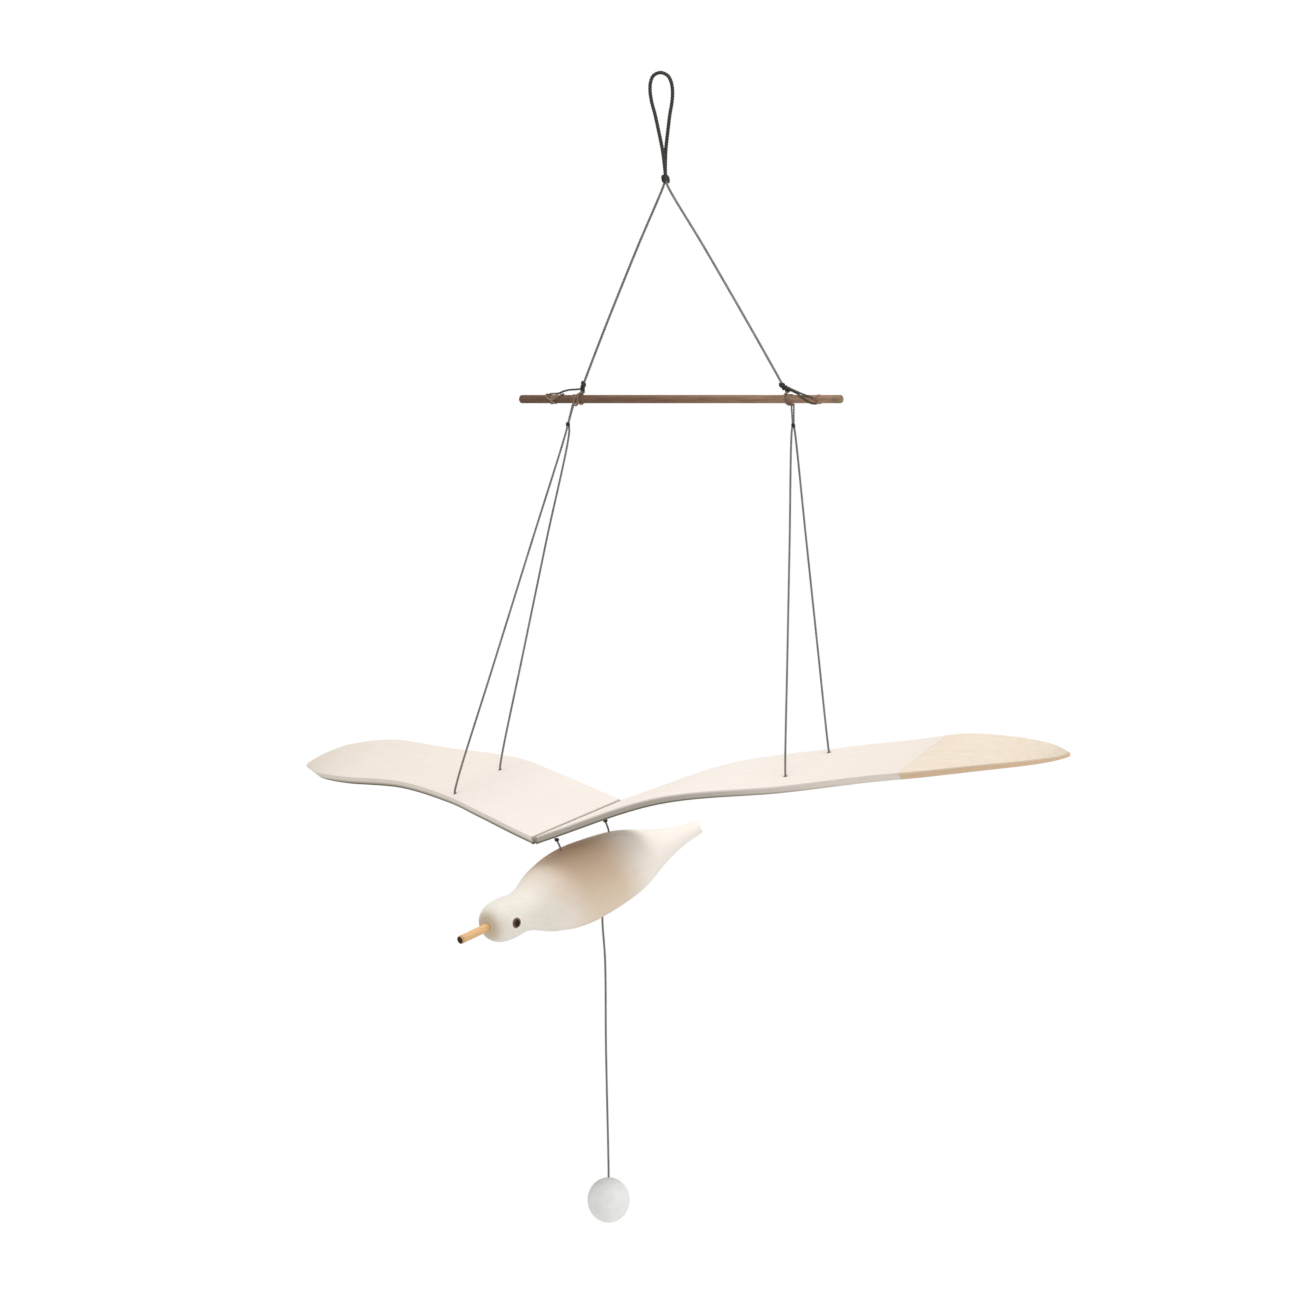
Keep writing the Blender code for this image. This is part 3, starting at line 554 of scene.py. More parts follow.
def round_rod(rows):
    """Closely spaced points of a strand, from rows of place, degrees and height on the rod."""
    places, degrees, heights = [np.array(column, dtype=float) for column in zip(*rows)]
    lengths = np.abs(np.diff(degrees)) / TIE_STEP + np.abs(np.diff(places)) / TIE_CORD_DIAMETER
    run = np.concatenate([[0.0], np.cumsum(lengths)])
    points = []
    for at in np.linspace(0.0, run[-1], int(run[-1]) + 1):
        angle = radians(np.interp(at, run, degrees))
        reach = (ROD_DIAMETER + TIE_CORD_DIAMETER) / 2 - TIE_BITE + np.interp(at, run, heights)
        points.append(on_rod(np.interp(at, run, places), -sin(angle) * reach, cos(angle) * reach))
    return points


for (hand, strand), rows in TIE_STRANDS.items():
    look = TAIL_CORD if "tail" in strand else STAINED_CORD
    tie = lay_cord("tie_" + hand + "_" + strand, even_points(round_rod(rows), CORD_STEP), "hanger",
                   TIE_CORD_DIAMETER, look)
    if strand == "wraps":
        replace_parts(tie, "rod_tie_" + hand)
for hand, places in TIE_KNOTS.items():
    for number, (along, up) in enumerate(places, start=1):
        tie_knot("tie_knot_%s_%d" % (hand, number), on_rod(along, 0.0, up), TIE_KNOT_SIZES[hand], "hanger",
                 TIE_KNOT_TURN * number, TIE_KNOT_CORD)


# Drops: below each tie the cord hangs doubled to a small dark binding, where it parts
# into the front and the rear strand of that side's wing.
BEAD_AT = {"left": on_rod(0.1031, 0.0, -0.0130), "right": on_rod(-0.0619, 0.0, -0.0124)}
DROP_TOP = {"left": on_rod(0.1026, 0.0, -0.0024), "right": on_rod(-0.0580, 0.0, -0.0024)}
DROP_CORD_DIAMETER = 0.0009
DROP_APART = 0.0003
DROP_TOP_SPREAD = 2.0
DROP_PAIR_TURN = {"left": radians(48.0), "right": radians(110.0)}
BINDING_THREAD = 0.0006
BINDING_TURNS = 3
BINDING_STEPS = 16
BINDING_RADIUS = 0.0008
THREAD_COLOURS = ((0.010, 0.009, 0.008), (0.045, 0.038, 0.033), (0.08, 0.07, 0.06))

DARK_THREAD = cord_material("dark_thread", *THREAD_COLOURS)

for hand in OUTWARD:
    turn = DROP_PAIR_TURN[hand]
    for number, side in enumerate((1.0, -1.0), start=1):
        aside = Vector((cos(turn), sin(turn), 0.0)) * side * DROP_APART
        start, end = DROP_TOP[hand] + aside * DROP_TOP_SPREAD, BEAD_AT[hand] + aside
        hang = even_points([start, (start + end) / 2, end], CORD_STEP)
        drop = lay_cord("drop_%s_%d" % (hand, number), hang, "hanger", DROP_CORD_DIAMETER)
    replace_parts(drop, "strand_bead_" + hand)
    binding = []
    for index in range(BINDING_STEPS * BINDING_TURNS + 1):
        angle = 2 * pi * index / BINDING_STEPS
        height = BINDING_THREAD * (index / BINDING_STEPS - BINDING_TURNS / 2)
        aside = Vector((cos(angle) * BINDING_RADIUS, sin(angle) * BINDING_RADIUS, height))
        binding.append(BEAD_AT[hand] + aside)
    lay_cord("binding_" + hand, even_points(binding, CORD_STEP / 2), "hanger", BINDING_THREAD, DARK_THREAD)


# Strands: two taut cords from each drop knot down through the holes in that side's wing,
# each stopped by a knot under the wing. The wing tips on them when the bird flaps.
STRAND_ROUTES = {
    ("left", "front"): [(0.10310, -0.00550, -0.17200), (0.10310, -0.00620, -0.17440),
                        (0.10749, -0.01165, -0.23015), (0.11202, -0.01726, -0.28758),
                        (0.11602, -0.02221, -0.33826), (0.11642, -0.02270, -0.34333),
                        (0.11620, -0.02162, -0.34595), (0.11594, -0.02028, -0.34923)],
    ("left", "rear"): [(0.10310, -0.00510, -0.17200), (0.10310, -0.00440, -0.17440),
                       (0.10745, -0.00094, -0.22624), (0.11193, 0.00263, -0.27965),
                       (0.11589, 0.00578, -0.32678), (0.11628, 0.00609, -0.33150),
                       (0.11618, 0.00717, -0.33413), (0.11604, 0.00852, -0.33741)],
    ("right", "front"): [(-0.06190, -0.00550, -0.17170), (-0.06190, -0.00620, -0.17440),
                         (-0.07992, -0.01443, -0.23275), (-0.09848, -0.02291, -0.29288),
                         (-0.11486, -0.03040, -0.34592), (-0.11650, -0.03115, -0.35123),
                         (-0.11636, -0.03013, -0.35389), (-0.11618, -0.02887, -0.35720)],
    ("right", "rear"): [(-0.06190, -0.00510, -0.17170), (-0.06190, -0.00440, -0.17440),
                        (-0.07990, -0.00340, -0.22900), (-0.09845, -0.00237, -0.28526),
                        (-0.11481, -0.00146, -0.33490), (-0.11645, -0.00137, -0.33986),
                        (-0.11638, -0.00035, -0.34252), (-0.11628, 0.00091, -0.34584)]}

STRAND_DIAMETER = 0.0011
# A strand bends at this share of the way from its hole's middle to the route's point above it.
STRAND_BEND = 0.62
STOP_KNOT_TURN = 0.3

for (hand, row), route in STRAND_ROUTES.items():
    above, hole = Vector(route[-3]), Vector(route[-2])
    entering = route[:-3] + [tuple(hole.lerp(above, STRAND_BEND))] + route[-2:]
    free_cord("strand_cord_" + hand + "_" + row, entering, "hanger", "strand_" + hand + "_" + row,
              STRAND_DIAMETER)
    tie_knot("stop_knot_" + hand + "_" + row, route[-1], SMALL_KNOT_SIZE, "hanger", STOP_KNOT_TURN)


# Wings: two long thin panels of pale wood, bent and slightly twisted, with a thin cream wash.
# The edges are rounded over, and the left wing's tip is left as natural wood beyond a line.
BIRD_AT = (0.0, -0.0836, -0.3758)
NOSE_DOWN = 17.5
ROLL = 0.60
HALF_SPAN = 0.2793
WING_THICKNESS = 0.0037
WING_RIM_ROUND = 0.0014
ROOT_CLEARANCE = 0.0018
TIP_ROUNDNESS = 2.0
TIP_BLUNT = 0.04
LEADING_EDGE = [0.0, 0.0258, 0.0562, 0.0707, 0.0725, 0.0844, 0.0980, 0.1070, 0.1100]
TRAILING_EDGE = [0.0612, 0.0808, 0.1062, 0.1074, 0.1084, 0.1078, 0.1098, 0.1104, 0.1100]
WING_RISE = {"left": [0.0, 0.0114, 0.0072, 0.0074, 0.0091, 0.0083, 0.0065, 0.0061, 0.0073],
             "right": [0.0, 0.0063, 0.0053, 0.0084, 0.0105, 0.0089, 0.0065, 0.0056, 0.0066]}
WING_TWIST = {"left": [0.0, 0.0008, 0.0045, 0.0072, 0.0081, 0.0077, 0.0062, 0.0034, 0.0],
              "right": [0.0, 0.0025, 0.0037, 0.0056, 0.0079, 0.0081, 0.0060, 0.0030, 0.0]}
WING_HOLE = 0.0023
NATURAL_TIP_FROM = {"left": 0.1955, "right": None}
# Painted shade on the rim and the underside near the root: its colour, the heights it covers, and how far
# out it reaches.
RIM_PAINTED_SHADE = {"left": (0.55, 0.54, 0.51, 1.0), "right": (0.60, 0.58, 0.54, 1.0)}
RIM_LEVELS = {"left": (0.85, 0.35), "right": (0.15, -0.45)}
RIM_REACH = {"left": (0.17, 0.06), "right": (0.27, 0.20)}
WING_GRAIN = (38.0, 900.0, 900.0)
WING_WASH = ((0.890, 0.820, 0.760, 1.0), (0.810, 0.725, 0.650, 1.0), 0.34, 0.22, 0.62)
BARE_WOOD = ((0.845, 0.745, 0.620, 1.0), (0.730, 0.590, 0.445, 1.0), 0.36, 0.28, 0.55)
WING_RELIEF = (0.25, 0.00025)
OUTER_TONE = (0.05, 0.27, 0.8, (0.93, 0.90, 0.86, 1.0))
BARE_RIM_TONE = (0.95, 0.4, 1.0, (0.92, 0.76, 0.62, 1.0))
# Painted shade in the seam where the two wings' roots meet: how far out it reaches, the heights it covers,
# its colour.
SEAM_REACH = (0.0026, 0.0014)
SEAM_LEVELS = (-0.9, -0.5)
SEAM_PAINTED_SHADE = (0.60, 0.585, 0.56, 1.0)
TIP_DRIFT = (60.0, 3.0, 0.004)
TIP_BLUR = 0.0008
TIP_LINE = 0.0012
TIP_LINE_STRENGTH = 0.3
TIP_LINE_COLOUR = (0.62, 0.52, 0.42, 1.0)
# Painted shade darkens the rim's lower round; the flat underside isn't darkened.
LOWER_LEVELS = ((-0.35, -0.80), (-0.998, -0.96))
LOWER_STRENGTH = 0.95
RIM_UNDER_PAINTED_SHADE = (0.28, 0.28, 0.22, 1.0)
LOWER_FULL_AT = 0.06
WING_POINTS = (120, 16)

BIRD = (Matrix.Translation(BIRD_AT) @ Matrix.Rotation(radians(NOSE_DOWN), 4, "X")
        @ Matrix.Rotation(-radians(ROLL), 4, "Y"))


def smooth_value(values, t):
    """Read a smooth curve through evenly spaced values at t from 0 to 1."""
    values = np.asarray(values, dtype=float)
    last = len(values) - 1
    along = min(max(t, 0.0), 1.0) * last
    i = min(int(along), last - 1)
    f = along - i
    before = values[i - 1] if i > 0 else 2 * values[0] - values[1]
    after = values[i + 2] if i + 2 <= last else 2 * values[last] - values[last - 1]
    here, there = values[i], values[i + 1]
    return 0.5 * (2 * here + (there - before) * f
                  + (2 * before - 5 * here + 4 * there - after) * f ** 2
                  + (3 * here - before - 3 * there + after) * f ** 3)


def wing_surface(t, share, hand):
    """Middle of the wing's panel, t from root to tip, share 0 leading edge and 1 trailing edge."""
    leading = smooth_value(LEADING_EDGE, t)
    trailing = smooth_value(TRAILING_EDGE, t)
    up = smooth_value(WING_RISE[hand], t) + smooth_value(WING_TWIST[hand], t) * share
    out = max(HALF_SPAN * (1.0 - (1.0 - t) ** TIP_ROUNDNESS), ROOT_CLEARANCE / 2)
    return BIRD @ Vector((OUTWARD[hand] * out, leading + (trailing - leading) * share, up))


def wing_material(hand):
    """The washed panel with painted shade on its rounded rim, and its natural tip if it has one."""
    made, tree, shader = new_material("wing_wash_" + hand, Specular_IOR_Level=0.2)
    place = object_place(tree)
    out = calc(tree, "ABSOLUTE", part_of(tree, place, "X"))
    level = attribute(tree, "level")
    along = stretched(tree, place, (0.0, 0.0, 0.0), WING_GRAIN)
    washed = wood(tree, place, along, *WING_WASH)
    colour = toned(tree, washed.outputs["Colour"], out, OUTER_TONE, "MULTIPLY")
    # Painted shade on the rim and underside near the root.
    rim = times(tree, between(tree, level, *RIM_LEVELS[hand]), between(tree, out, *RIM_REACH[hand]))
    colour = blend_colour(tree, rim, colour, RIM_PAINTED_SHADE[hand], "MULTIPLY")
    # Painted shade on the root faces, in the seam between the wings.
    seam_shade = times(tree, between(tree, out, *SEAM_REACH), between(tree, level, *SEAM_LEVELS))
    colour = blend_colour(tree, seam_shade, colour, SEAM_PAINTED_SHADE, "MULTIPLY")
    # Painted shade on the rim's lower round.
    lower = times(tree, *[between(tree, level, *levels) for levels in LOWER_LEVELS])
    tip_from = NATURAL_TIP_FROM[hand]
    if tip_from is not None:
        grain = wood(tree, place, along, *BARE_WOOD)
        bare = toned(tree, grain.outputs["Colour"], level, BARE_RIM_TONE, "MULTIPLY")
        edge = calc(tree, "ADD", out, drift(tree, place, *TIP_DRIFT))
        tip = between(tree, edge, tip_from - TIP_BLUR, tip_from + TIP_BLUR)
        line = times(tree, between(tree, edge, tip_from - TIP_LINE, tip_from),
                     between(tree, edge, tip_from + TIP_LINE, tip_from))
        colour = blend_colour(tree, tip, colour, bare)
        colour = blend_colour(tree, times(tree, line, TIP_LINE_STRENGTH), colour, TIP_LINE_COLOUR)
        lower = times(tree, lower, between(tree, out, tip_from, LOWER_FULL_AT))
    colour = blend_colour(tree, times(tree, lower, LOWER_STRENGTH), colour, RIM_UNDER_PAINTED_SHADE, "MULTIPLY")
    feed(tree, shader, colour, washed.outputs["Roughness"], washed.outputs["Height"], WING_RELIEF)
    return made


def apply_all(piece):
    select_only(piece)
    for step in list(piece.modifiers):
        bpy.ops.object.modifier_apply(modifier=step.name)


def cut_with(piece, cutter):
    """Take a cutter's shape out of a piece."""
    cut = piece.modifiers.new("cut", "BOOLEAN")
    cut.operation = "DIFFERENCE"
    cut.solver = "EXACT"
    cut.object = cutter
    apply_all(piece)
    bpy.data.objects.remove(cutter, do_unlink=True)


def round_cutter(start, end, diameter):
    """A round bar between two points, to drill with."""
    start, end = Vector(start), Vector(end)
    along = end - start
    bpy.ops.object.select_all(action="DESELECT")
    bpy.ops.mesh.primitive_cylinder_add(vertices=24, radius=diameter / 2, depth=along.length,
                                        location=(start + end) / 2,
                                        rotation=along.to_track_quat("Z", "Y").to_euler())
    return bpy.context.object


def mark_levels(wing, middle):
    """Give each point its height in the panel, from -1 on the lower face to 1 on the upper."""
    tree = KDTree(len(middle))
    for index, (point, normal) in enumerate(middle):
        tree.insert(point, index)
    tree.balance()
    levels = []
    for vertex in wing.data.vertices:
        point, index = tree.find(vertex.co)[:2]
        normal = middle[index][1]
        up = normal if normal.z > 0 else -normal
        levels.append((vertex.co - point).dot(up) / (WING_THICKNESS / 2))
    level = wing.data.attributes.new("level", "FLOAT", "POINT")
    level.data.foreach_set("value", np.clip(levels, -1.0, 1.0).astype(np.float32))


for hand in OUTWARD:
    bpy.ops.object.select_all(action="DESELECT")
    bpy.ops.mesh.primitive_grid_add(x_subdivisions=WING_POINTS[0], y_subdivisions=WING_POINTS[1], size=1.0)
    wing = bpy.context.object
    wing.name = "wing_panel_" + hand
    for vertex in wing.data.vertices:
        vertex.co = wing_surface((vertex.co.x + 0.5) * (1.0 - TIP_BLUNT), vertex.co.y + 0.5, hand)
    wing.data.materials.append(wing_material(hand))
    join_points(0.000001)
    middle = [(vertex.co.copy(), vertex.normal.copy()) for vertex in wing.data.vertices]
    wall = wing.modifiers.new("thickness", "SOLIDIFY")
    wall.thickness = WING_THICKNESS
    wall.offset = 0.0
    wall.use_even_offset = True
    rim = wing.modifiers.new("rounded_rim", "BEVEL")
    rim.width = WING_RIM_ROUND
    rim.segments = 4
    rim.limit_method = "ANGLE"
    rim.angle_limit = radians(50)
    apply_all(wing)
    for row in ("front", "rear"):
        route = STRAND_ROUTES[(hand, row)]
        cut_with(wing, round_cutter(route[-3], route[-1], WING_HOLE))
    mark_levels(wing, middle)
    shade_smooth(wing, 40)
    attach(wing, "wing_" + hand)
    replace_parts(wing, "wing_" + hand)


# Body: one piece of pale wood turned on a lathe, with a small head, a neck, a full belly and a tail
# that tapers to a notched end. It has a thin cream wash, with the wings' shadow painted tan on the flank,
# painted shade over the head and painted light towards the tail.
BODY_LENGTH = 0.1469
BODY_RADIUS = 0.0199
BODY_PITCH = 19.4
HEAD_FACE_AT = (0.0, -0.0304, -0.0422)
BODY_PROFILE = [(0.0, 0.27), (0.010, 0.38), (0.030, 0.47), (0.055, 0.515), (0.095, 0.53),
                (0.139, 0.505), (0.180, 0.55), (0.2175, 0.655), (0.266, 0.805), (0.310, 0.89),
                (0.356, 0.96), (0.419, 1.0), (0.497, 0.975), (0.582, 0.91), (0.650, 0.83),
                (0.711, 0.70), (0.7745, 0.53), (0.855, 0.35), (0.929, 0.235), (1.0, 0.168)]
BODY_TURN_STEPS = 96
TAIL_NOTCH_DEPTH = 0.0016
TAIL_NOTCH_WIDTH = 0.0040
EYE_DIAMETER = 0.0046
EYE_AT = Vector((0.010250, -0.103995, -0.416004))
EYE_INWARDS = Vector((-0.990268, -0.046227, 0.131271))
BODY_PROFILE_STEPS = 96
BODY_GRAIN = (700.0, 55.0, 700.0)
BODY_WASH = ((0.895, 0.825, 0.750, 1.0), (0.790, 0.690, 0.580, 1.0), 0.32, 0.18, 0.58)
BODY_RELIEF = (0.2, 0.0002)
# The wings' shadow is painted tan on the flank between these distances behind the face,
# and further back on the belly.
WING_SHADOW_SETS_IN = (0.026, 0.052)
WING_SHADOW_ENDS = (0.092, 0.066)
WING_SHADOW_HEIGHTS = (-0.020, 0.016)
WING_SHADOW_DRIFT = (45.0, 2.0, 0.014)
WING_SHADOW_LEAN = 0.012
WING_SHADOW_STRENGTH = 0.85
WING_SHADOW_COLOURS = ((0.74, 0.60, 0.45, 1.0), (0.68, 0.475, 0.315, 1.0))
# Tones by the distance behind the face, then from its middle, then from an eye's middle.
# Painted shade, slightly darker and cooler over the head.
HEAD_PAINTED_SHADE_TONE = (0.060, 0.010, 1.0, (0.935, 0.955, 0.960, 1.0))
# Painted light, paler towards the tail.
TAIL_PAINTED_LIGHT_TONE = (0.070, 0.110, 0.7, (0.955, 0.895, 0.835, 1.0))
FACE_TONE = (0.0098, 0.0045, 0.8, (0.62, 0.51, 0.36, 1.0))
EYE_HALO_TONE = (0.0048, 0.0028, 0.6, (0.90, 0.86, 0.80, 1.0))
EYE_RING_TONE = (0.0030, 0.0024, 1.0, (0.30, 0.19, 0.11, 1.0))

BODY = (Matrix.Translation(BIRD_AT) @ Matrix.Translation(HEAD_FACE_AT)
        @ Matrix.Rotation(radians(BODY_PITCH) - pi / 2, 4, "X"))


def turned_piece(name, profile, matrix, steps):
    """A profile of (radius, height) points drawn out from one point and spun round its axis."""
    bpy.ops.object.select_all(action="DESELECT")
    bpy.ops.mesh.primitive_plane_add(size=0.001)
    piece = bpy.context.object
    piece.name = name
    bpy.ops.object.mode_set(mode="EDIT")
    bpy.ops.mesh.select_all(action="SELECT")
    bpy.ops.mesh.merge(type="CENTER")
    bpy.ops.transform.translate(value=(profile[0][0], 0.0, profile[0][1]))
    for (radius, height), (next_radius, next_height) in zip(profile, profile[1:]):
        step = (next_radius - radius, 0.0, next_height - height)
        bpy.ops.mesh.extrude_region_move(TRANSFORM_OT_translate={"value": step})
    bpy.ops.mesh.select_all(action="SELECT")
    bpy.ops.mesh.spin(steps=steps, angle=2 * pi, center=(0.0, 0.0, 0.0), axis=(0.0, 0.0, 1.0))
    join_points(0.000005)
    piece.matrix_world = matrix
    select_only(piece)
    bpy.ops.object.transform_apply(location=True, rotation=True, scale=True)
    return piece


def smooth_profile(profile, count):
    """The same profile with more points, read from a smooth curve through its own."""
    radii = [radius for radius, height in profile]
    heights = [height for radius, height in profile]
    return [(smooth_value(radii, k / count), smooth_value(heights, k / count)) for k in range(count + 1)]


def vector_calc(tree, operation, value, other, output="Value"):
    node = tree.nodes.new("ShaderNodeVectorMath")
    node.operation = operation
    tree.links.new(value, node.inputs[0])
    node.inputs[1].default_value = other
    return node.outputs[output]


def along_body(tree, place, axis, start):
    """How far a point lies from start along a direction of the bird's own frame."""
    away = vector_calc(tree, "SUBTRACT", place, start, "Vector")
    return vector_calc(tree, "DOT_PRODUCT", away, axis)


def distance_from(tree, place, point):
    return vector_calc(tree, "DISTANCE", place, point)


def body_material():
    made, tree, shader = new_material("body_wash", Specular_IOR_Level=0.25)
    place = object_place(tree)
    face = BODY.translation
    back = along_body(tree, place, BODY.to_3x3().col[2], face)
    up = along_body(tree, place, -BODY.to_3x3().col[1], face)
    along = stretched(tree, place, (radians(-BODY_PITCH), 0.0, 0.0), BODY_GRAIN)
    washed = wood(tree, place, along, *BODY_WASH)
    # Painted shadow of the wings on the flank, darker higher up.
    high = between(tree, up, *WING_SHADOW_HEIGHTS)
    lean = times(tree, calc(tree, "SUBTRACT", high, 1.0), WING_SHADOW_LEAN)
    spread = calc(tree, "ADD", calc(tree, "ADD", back, drift(tree, place, *WING_SHADOW_DRIFT)), lean)
    painted_shadow = times(tree, between(tree, spread, *WING_SHADOW_SETS_IN), between(tree, spread, *WING_SHADOW_ENDS))
    # Painted shade over the head.
    colour = toned(tree, washed.outputs["Colour"], back, HEAD_PAINTED_SHADE_TONE, "MULTIPLY")
    # Painted light towards the tail.
    colour = toned(tree, colour, back, TAIL_PAINTED_LIGHT_TONE)
    colour = blend_colour(tree, times(tree, painted_shadow, WING_SHADOW_STRENGTH), colour,
                          blend_colour(tree, high, *WING_SHADOW_COLOURS))
    colour = toned(tree, colour, distance_from(tree, place, face), FACE_TONE)
    for side in (1.0, -1.0):
        eye = distance_from(tree, place, (side * EYE_AT.x, EYE_AT.y, EYE_AT.z))
        colour = toned(tree, colour, eye, EYE_HALO_TONE)
        colour = toned(tree, colour, eye, EYE_RING_TONE)
    feed(tree, shader, colour, washed.outputs["Roughness"], washed.outputs["Height"], BODY_RELIEF)
    return made


outline = [(share_r * BODY_RADIUS, share * BODY_LENGTH) for share, share_r in BODY_PROFILE]
outline = [(0.0, 0.0)] + smooth_profile(outline, BODY_PROFILE_STEPS) + [(0.0, BODY_LENGTH)]
body = turned_piece("turned_body", outline, BODY, BODY_TURN_STEPS)
body.data.materials.append(body_material())
bpy.ops.object.select_all(action="DESELECT")
bpy.ops.mesh.primitive_cube_add(size=1.0)
notch = bpy.context.object
notch_edge = TAIL_NOTCH_WIDTH / 2 ** 0.5
notch_middle = BODY_LENGTH + TAIL_NOTCH_WIDTH / 2 - TAIL_NOTCH_DEPTH
notch.matrix_world = (BODY @ Matrix.Translation((0.0, 0.0, notch_middle))
                      @ Matrix.Rotation(radians(45), 4, "X")
                      @ Matrix.Diagonal((4 * TAIL_NOTCH_WIDTH, notch_edge, notch_edge, 1.0)))
cut_with(body, notch)
shade_smooth(body, 38)
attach(body, "bird")
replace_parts(body, "body")


# Beak: a plain tan dowel set into the face, its end burnt dark inside a thin pale rim.
# The end is slightly hollowed, and the dowel stands straight along the body's axis.
BEAK_DIAMETER = 0.0041
BEAK_SHOWN = 0.0194
BEAK_SUNK = 0.0060
BEAK_RIM = 0.00035
BEAK_HOLLOW = 0.0005
BEAK_CHAMFER = (0.00015, 0.0002)
BEAK_INNER_SLOPE = 0.0001
BEAK_TURN_STEPS = 48
BEAK_GRAIN = (1500.0, 90.0, 1500.0)
BEAK_WOOD = ((0.860, 0.540, 0.260, 1.0), (0.600, 0.320, 0.120, 1.0), 0.5, 0.4, 0.45)
BEAK_RELIEF = (0.35, 0.0002)
BURNT_TONE = (0.0022, 0.0003, 0.55, (0.30, 0.16, 0.08, 1.0))
CHAR_SCALE = 2600.0
CHAR_RELIEF = (0.6, 0.0002)
CHAR_RANGE = (0.35, 0.75)
CHAR_COLOURS = ((0.012, 0.010, 0.009, 1.0), (0.060, 0.040, 0.028, 1.0))


def beak_material():
    made, tree, shader = new_material("beak_wood", Specular_IOR_Level=0.35)
    place = object_place(tree)
    back = along_body(tree, place, BODY.to_3x3().col[2], BODY.translation)
    along = stretched(tree, place, (radians(-BODY_PITCH), 0.0, 0.0), BEAK_GRAIN)
    grain = wood(tree, place, along, *BEAK_WOOD)
    from_end = calc(tree, "ADD", back, BEAK_SHOWN)
    colour = toned(tree, grain.outputs["Colour"], from_end, BURNT_TONE)
    feed(tree, shader, colour, grain.outputs["Roughness"], grain.outputs["Height"], BEAK_RELIEF)
    return made


def burnt_material():
    made, tree, shader = new_material("burnt_end", Roughness=0.8)
    place = object_place(tree)
    char = between(tree, noise(tree, place, CHAR_SCALE, 3.0), *CHAR_RANGE)
    tree.links.new(blend_colour(tree, char, *CHAR_COLOURS), shader.inputs["Base Color"])
    tree.links.new(bumped(tree, char, *CHAR_RELIEF), shader.inputs["Normal"])
    return made


beak_radius = BEAK_DIAMETER / 2
hollow_radius = beak_radius - BEAK_RIM
beak_outline = [
    (0.0, BEAK_HOLLOW - BEAK_SHOWN), (hollow_radius - BEAK_INNER_SLOPE, BEAK_HOLLOW - BEAK_SHOWN),
    (hollow_radius, BEAK_INNER_SLOPE - BEAK_SHOWN), (beak_radius - BEAK_CHAMFER[0], -BEAK_SHOWN),
    (beak_radius, BEAK_CHAMFER[1] - BEAK_SHOWN), (beak_radius, BEAK_SUNK), (0.0, BEAK_SUNK)]
beak = turned_piece("beak_dowel", beak_outline, BODY, BEAK_TURN_STEPS)
beak.data.materials.append(beak_material())
beak.data.materials.append(burnt_material())
for polygon in beak.data.polygons:
    local = BODY.inverted() @ polygon.center
    inside = Vector((local.x, local.y)).length < hollow_radius
    polygon.material_index = int(inside and local.z < 0.0)
shade_smooth(beak, 38)
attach(beak, "bird")
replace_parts(beak, "beak")


# Eyes: two small black pins with low domed heads, pressed into the sides of the head.
# Each catches one soft highlight.
EYE_PROUD = 0.0008
EYE_SUNK = 0.0015
EYE_TURN_STEPS = 40
EYE_ROUGHNESS = (0.30, 0.15)
SPECK_SCALE = 3000.0
SPECK_RANGE = (0.3, 0.8)
EYE_COLOURS = ((0.003, 0.003, 0.003, 1.0), (0.012, 0.009, 0.008, 1.0))
EYE_EDGE_TONE = (EYE_DIAMETER * 0.30, EYE_DIAMETER * 0.48, 1.0, (0.130, 0.078, 0.050, 1.0))


def eye_material():
    made, tree, shader = new_material("eye_black", Specular_IOR_Level=0.12, Coat_Weight=0.04,
                                      Coat_Roughness=0.05)
    place = object_place(tree)
    speck = between(tree, noise(tree, place, SPECK_SCALE, 2.0), *SPECK_RANGE)
    black = blend_colour(tree, speck, *EYE_COLOURS)
    near = calc(tree, "MINIMUM", distance_from(tree, place, EYE_AT),
                distance_from(tree, place, (-EYE_AT.x, EYE_AT.y, EYE_AT.z)))
    tree.links.new(toned(tree, black, near, EYE_EDGE_TONE), shader.inputs["Base Color"])
    tree.links.new(rising(tree, speck, *EYE_ROUGHNESS), shader.inputs["Roughness"])
    return made


EYE_BLACK = eye_material()
for hand, side in OUTWARD.items():
    outwards = Vector((side * -EYE_INWARDS.x, -EYE_INWARDS.y, -EYE_INWARDS.z))
    at = Vector((side * EYE_AT.x, EYE_AT.y, EYE_AT.z))
    dome = [(EYE_DIAMETER / 2 * sin(radians(angle)), EYE_PROUD * cos(radians(angle)))
            for angle in range(0, 91, 10)]
    matrix = Matrix.Translation(at) @ outwards.to_track_quat("Z", "Y").to_matrix().to_4x4()
    shank = [(EYE_DIAMETER / 2, -EYE_SUNK), (0.0, -EYE_SUNK)]
    eye = turned_piece("eye_pin_" + hand, dome + shank, matrix, EYE_TURN_STEPS)
    eye.data.materials.append(EYE_BLACK)
    shade_smooth(eye, 40)
    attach(eye, "bird")
    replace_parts(eye, "eye_" + hand)


# Links: two short cords knotted under the wing roots, front and rear, and glued into holes in
# the bird's back. They carry the bird, so it sinks and rises as the wings flap.
LINK_DIAMETER = 0.0010
LINK_KNOT_TURN = 0.5
LINKS = {"front": [(0.0, -0.06598, -0.38334), (0.0, -0.06598, -0.37964), (0.0, -0.06850, -0.37520)],
         "rear": [(0.0, -0.03419, -0.37457), (0.0, -0.03419, -0.37087), (0.0, -0.03650, -0.36580)]}

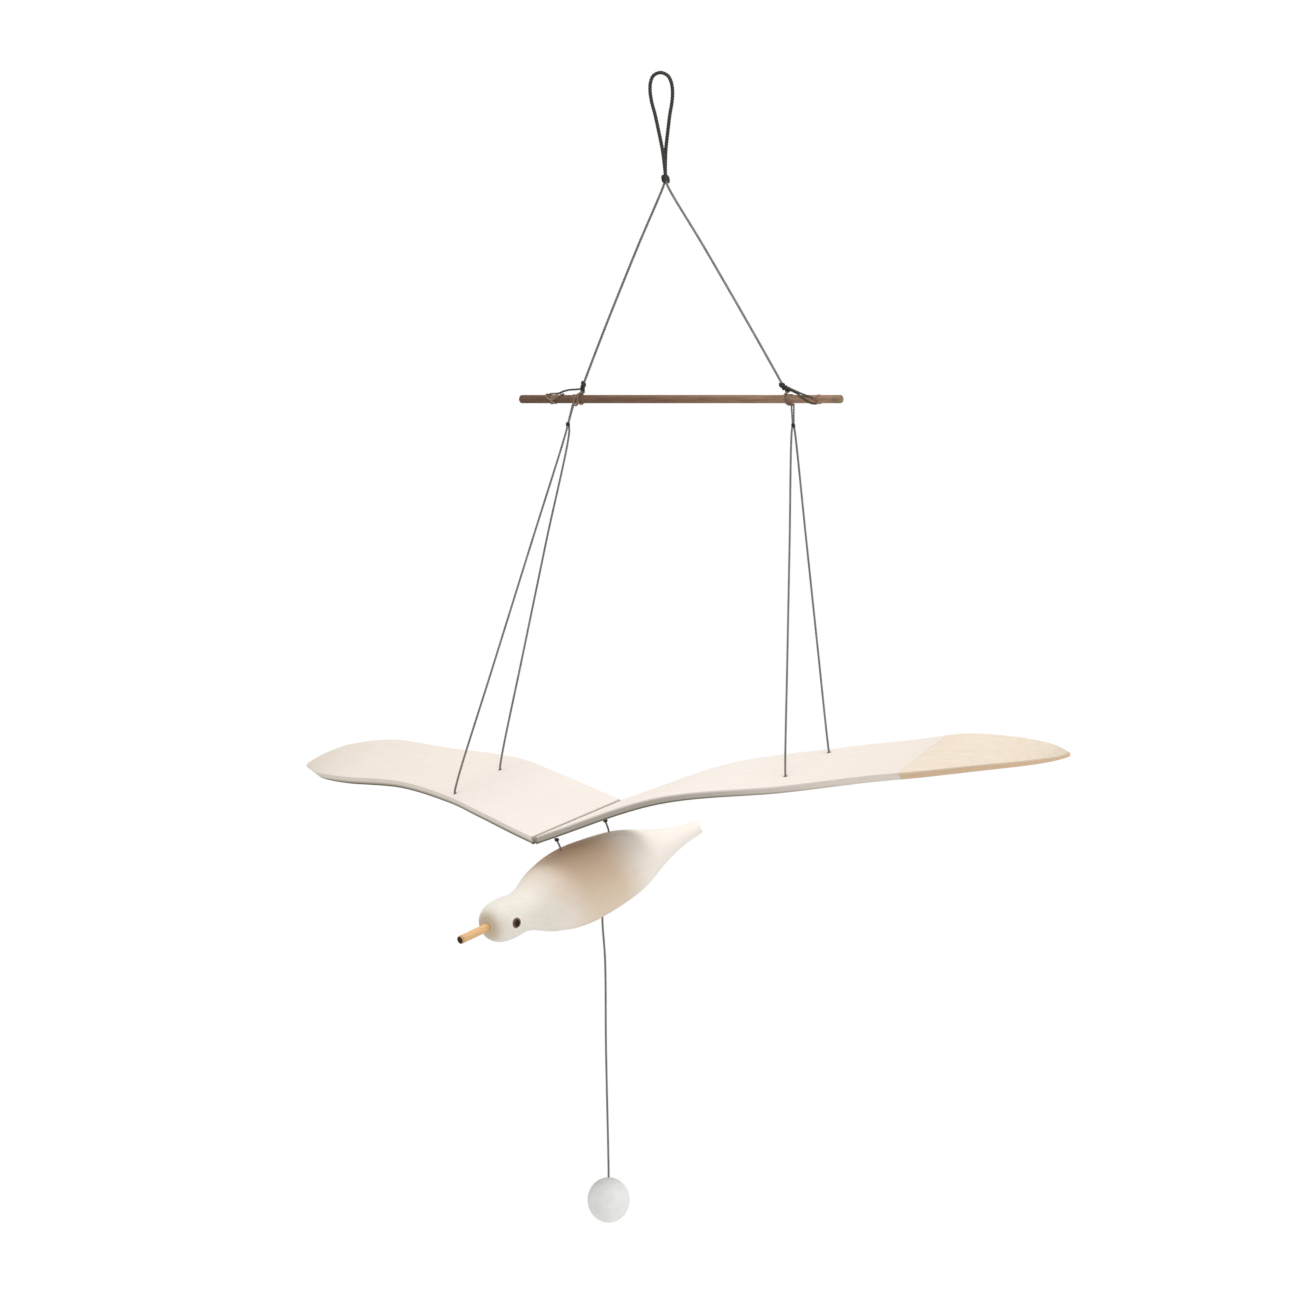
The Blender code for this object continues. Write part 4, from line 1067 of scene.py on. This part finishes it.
for row, route in LINKS.items():
    link = lay_cord("link_" + row, even_points(route, CORD_STEP), "bird", LINK_DIAMETER)
    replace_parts(link, "link_cord_" + row)
    tie_knot("link_knot_" + row, route[-1], SMALL_KNOT_SIZE, "bird", LINK_KNOT_TURN)


# Pull cord: one length that hangs from the belly, with a slight sway, and ends in the ball.
# Drawing the ball down and letting it go makes the wings flap.
PULL_ROUTE = [(0.0, -0.03825, -0.40884), (0.0, -0.03825, -0.41584), (0.0, -0.03655, -0.43391),
              (0.0, -0.03595, -0.47609), (0.0, -0.03425, -0.53634), (0.0, -0.03425, -0.54434)]
free_cord("pull_cord_twist", PULL_ROUTE, "bird", "pull_cord", STRAND_DIAMETER)


# Ball: a small wooden ball with a matt white coat, slightly taller than wide, with a blind
# hole at its top that the pull cord is glued into.
BALL_AT = Vector((0.0, -0.03425, -0.5517))
BALL_WIDTH = 0.0206
BALL_HEIGHT = 0.0222
BALL_HOLE_DEPTH = 0.0040
BALL_HOLE_WIDTH = 0.0020
BALL_TURN_STEPS = 72
BALL_COLOURS = ((0.900, 0.905, 0.895, 1.0), (0.840, 0.840, 0.825, 1.0))
# Painted shade over the ball's upper left, darkest at this point on its top.
BALL_SHADE_MIDDLE = BALL_AT + Vector((-0.005, 0.0, BALL_HEIGHT / 2))
BALL_PAINTED_SHADE_TONE = (0.019, 0.001, 1.0, (0.64, 0.635, 0.645, 1.0))
BRUSH_TURN = (0.3, 0.2, 0.0)
BRUSH_GRAIN = (900.0, 900.0, 120.0)
BRUSH_RELIEF = (0.25, 0.00025)
BALL_ROUGHNESS = (0.52, 0.12)
MOTTLE_SCALE = 240.0
MOTTLE_RANGE = (0.30, 0.75)


def ball_material():
    made, tree, shader = new_material("ball_paint", Specular_IOR_Level=0.35)
    place = object_place(tree)
    mottle = between(tree, noise(tree, place, MOTTLE_SCALE, 4.0), *MOTTLE_RANGE)
    brushed = noise(tree, stretched(tree, place, BRUSH_TURN, BRUSH_GRAIN), 1.0, 3.0)
    paint = blend_colour(tree, mottle, *BALL_COLOURS)
    # Painted shade over the ball's upper left.
    shade_distance = distance_from(tree, place, BALL_SHADE_MIDDLE)
    colour = toned(tree, paint, shade_distance, BALL_PAINTED_SHADE_TONE, "MULTIPLY")
    feed(tree, shader, colour, rising(tree, mottle, *BALL_ROUGHNESS), brushed, BRUSH_RELIEF)
    return made


half_outline = [(BALL_WIDTH / 2 * sin(radians(angle)), BALL_HEIGHT / 2 * cos(radians(angle)))
                for angle in range(0, 181, 4)]
ball = turned_piece("painted_ball", half_outline, Matrix.Translation(BALL_AT), BALL_TURN_STEPS)
ball_top = BALL_AT.z + BALL_HEIGHT / 2
cut_with(ball, round_cutter((BALL_AT.x, BALL_AT.y, ball_top + 0.002),
                            (BALL_AT.x, BALL_AT.y, ball_top - BALL_HOLE_DEPTH), BALL_HOLE_WIDTH))
ball.data.materials.append(ball_material())
shade_smooth(ball, 50)
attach(ball, "bird")
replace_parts(ball, "ball")

bpy.context.view_layer.update()
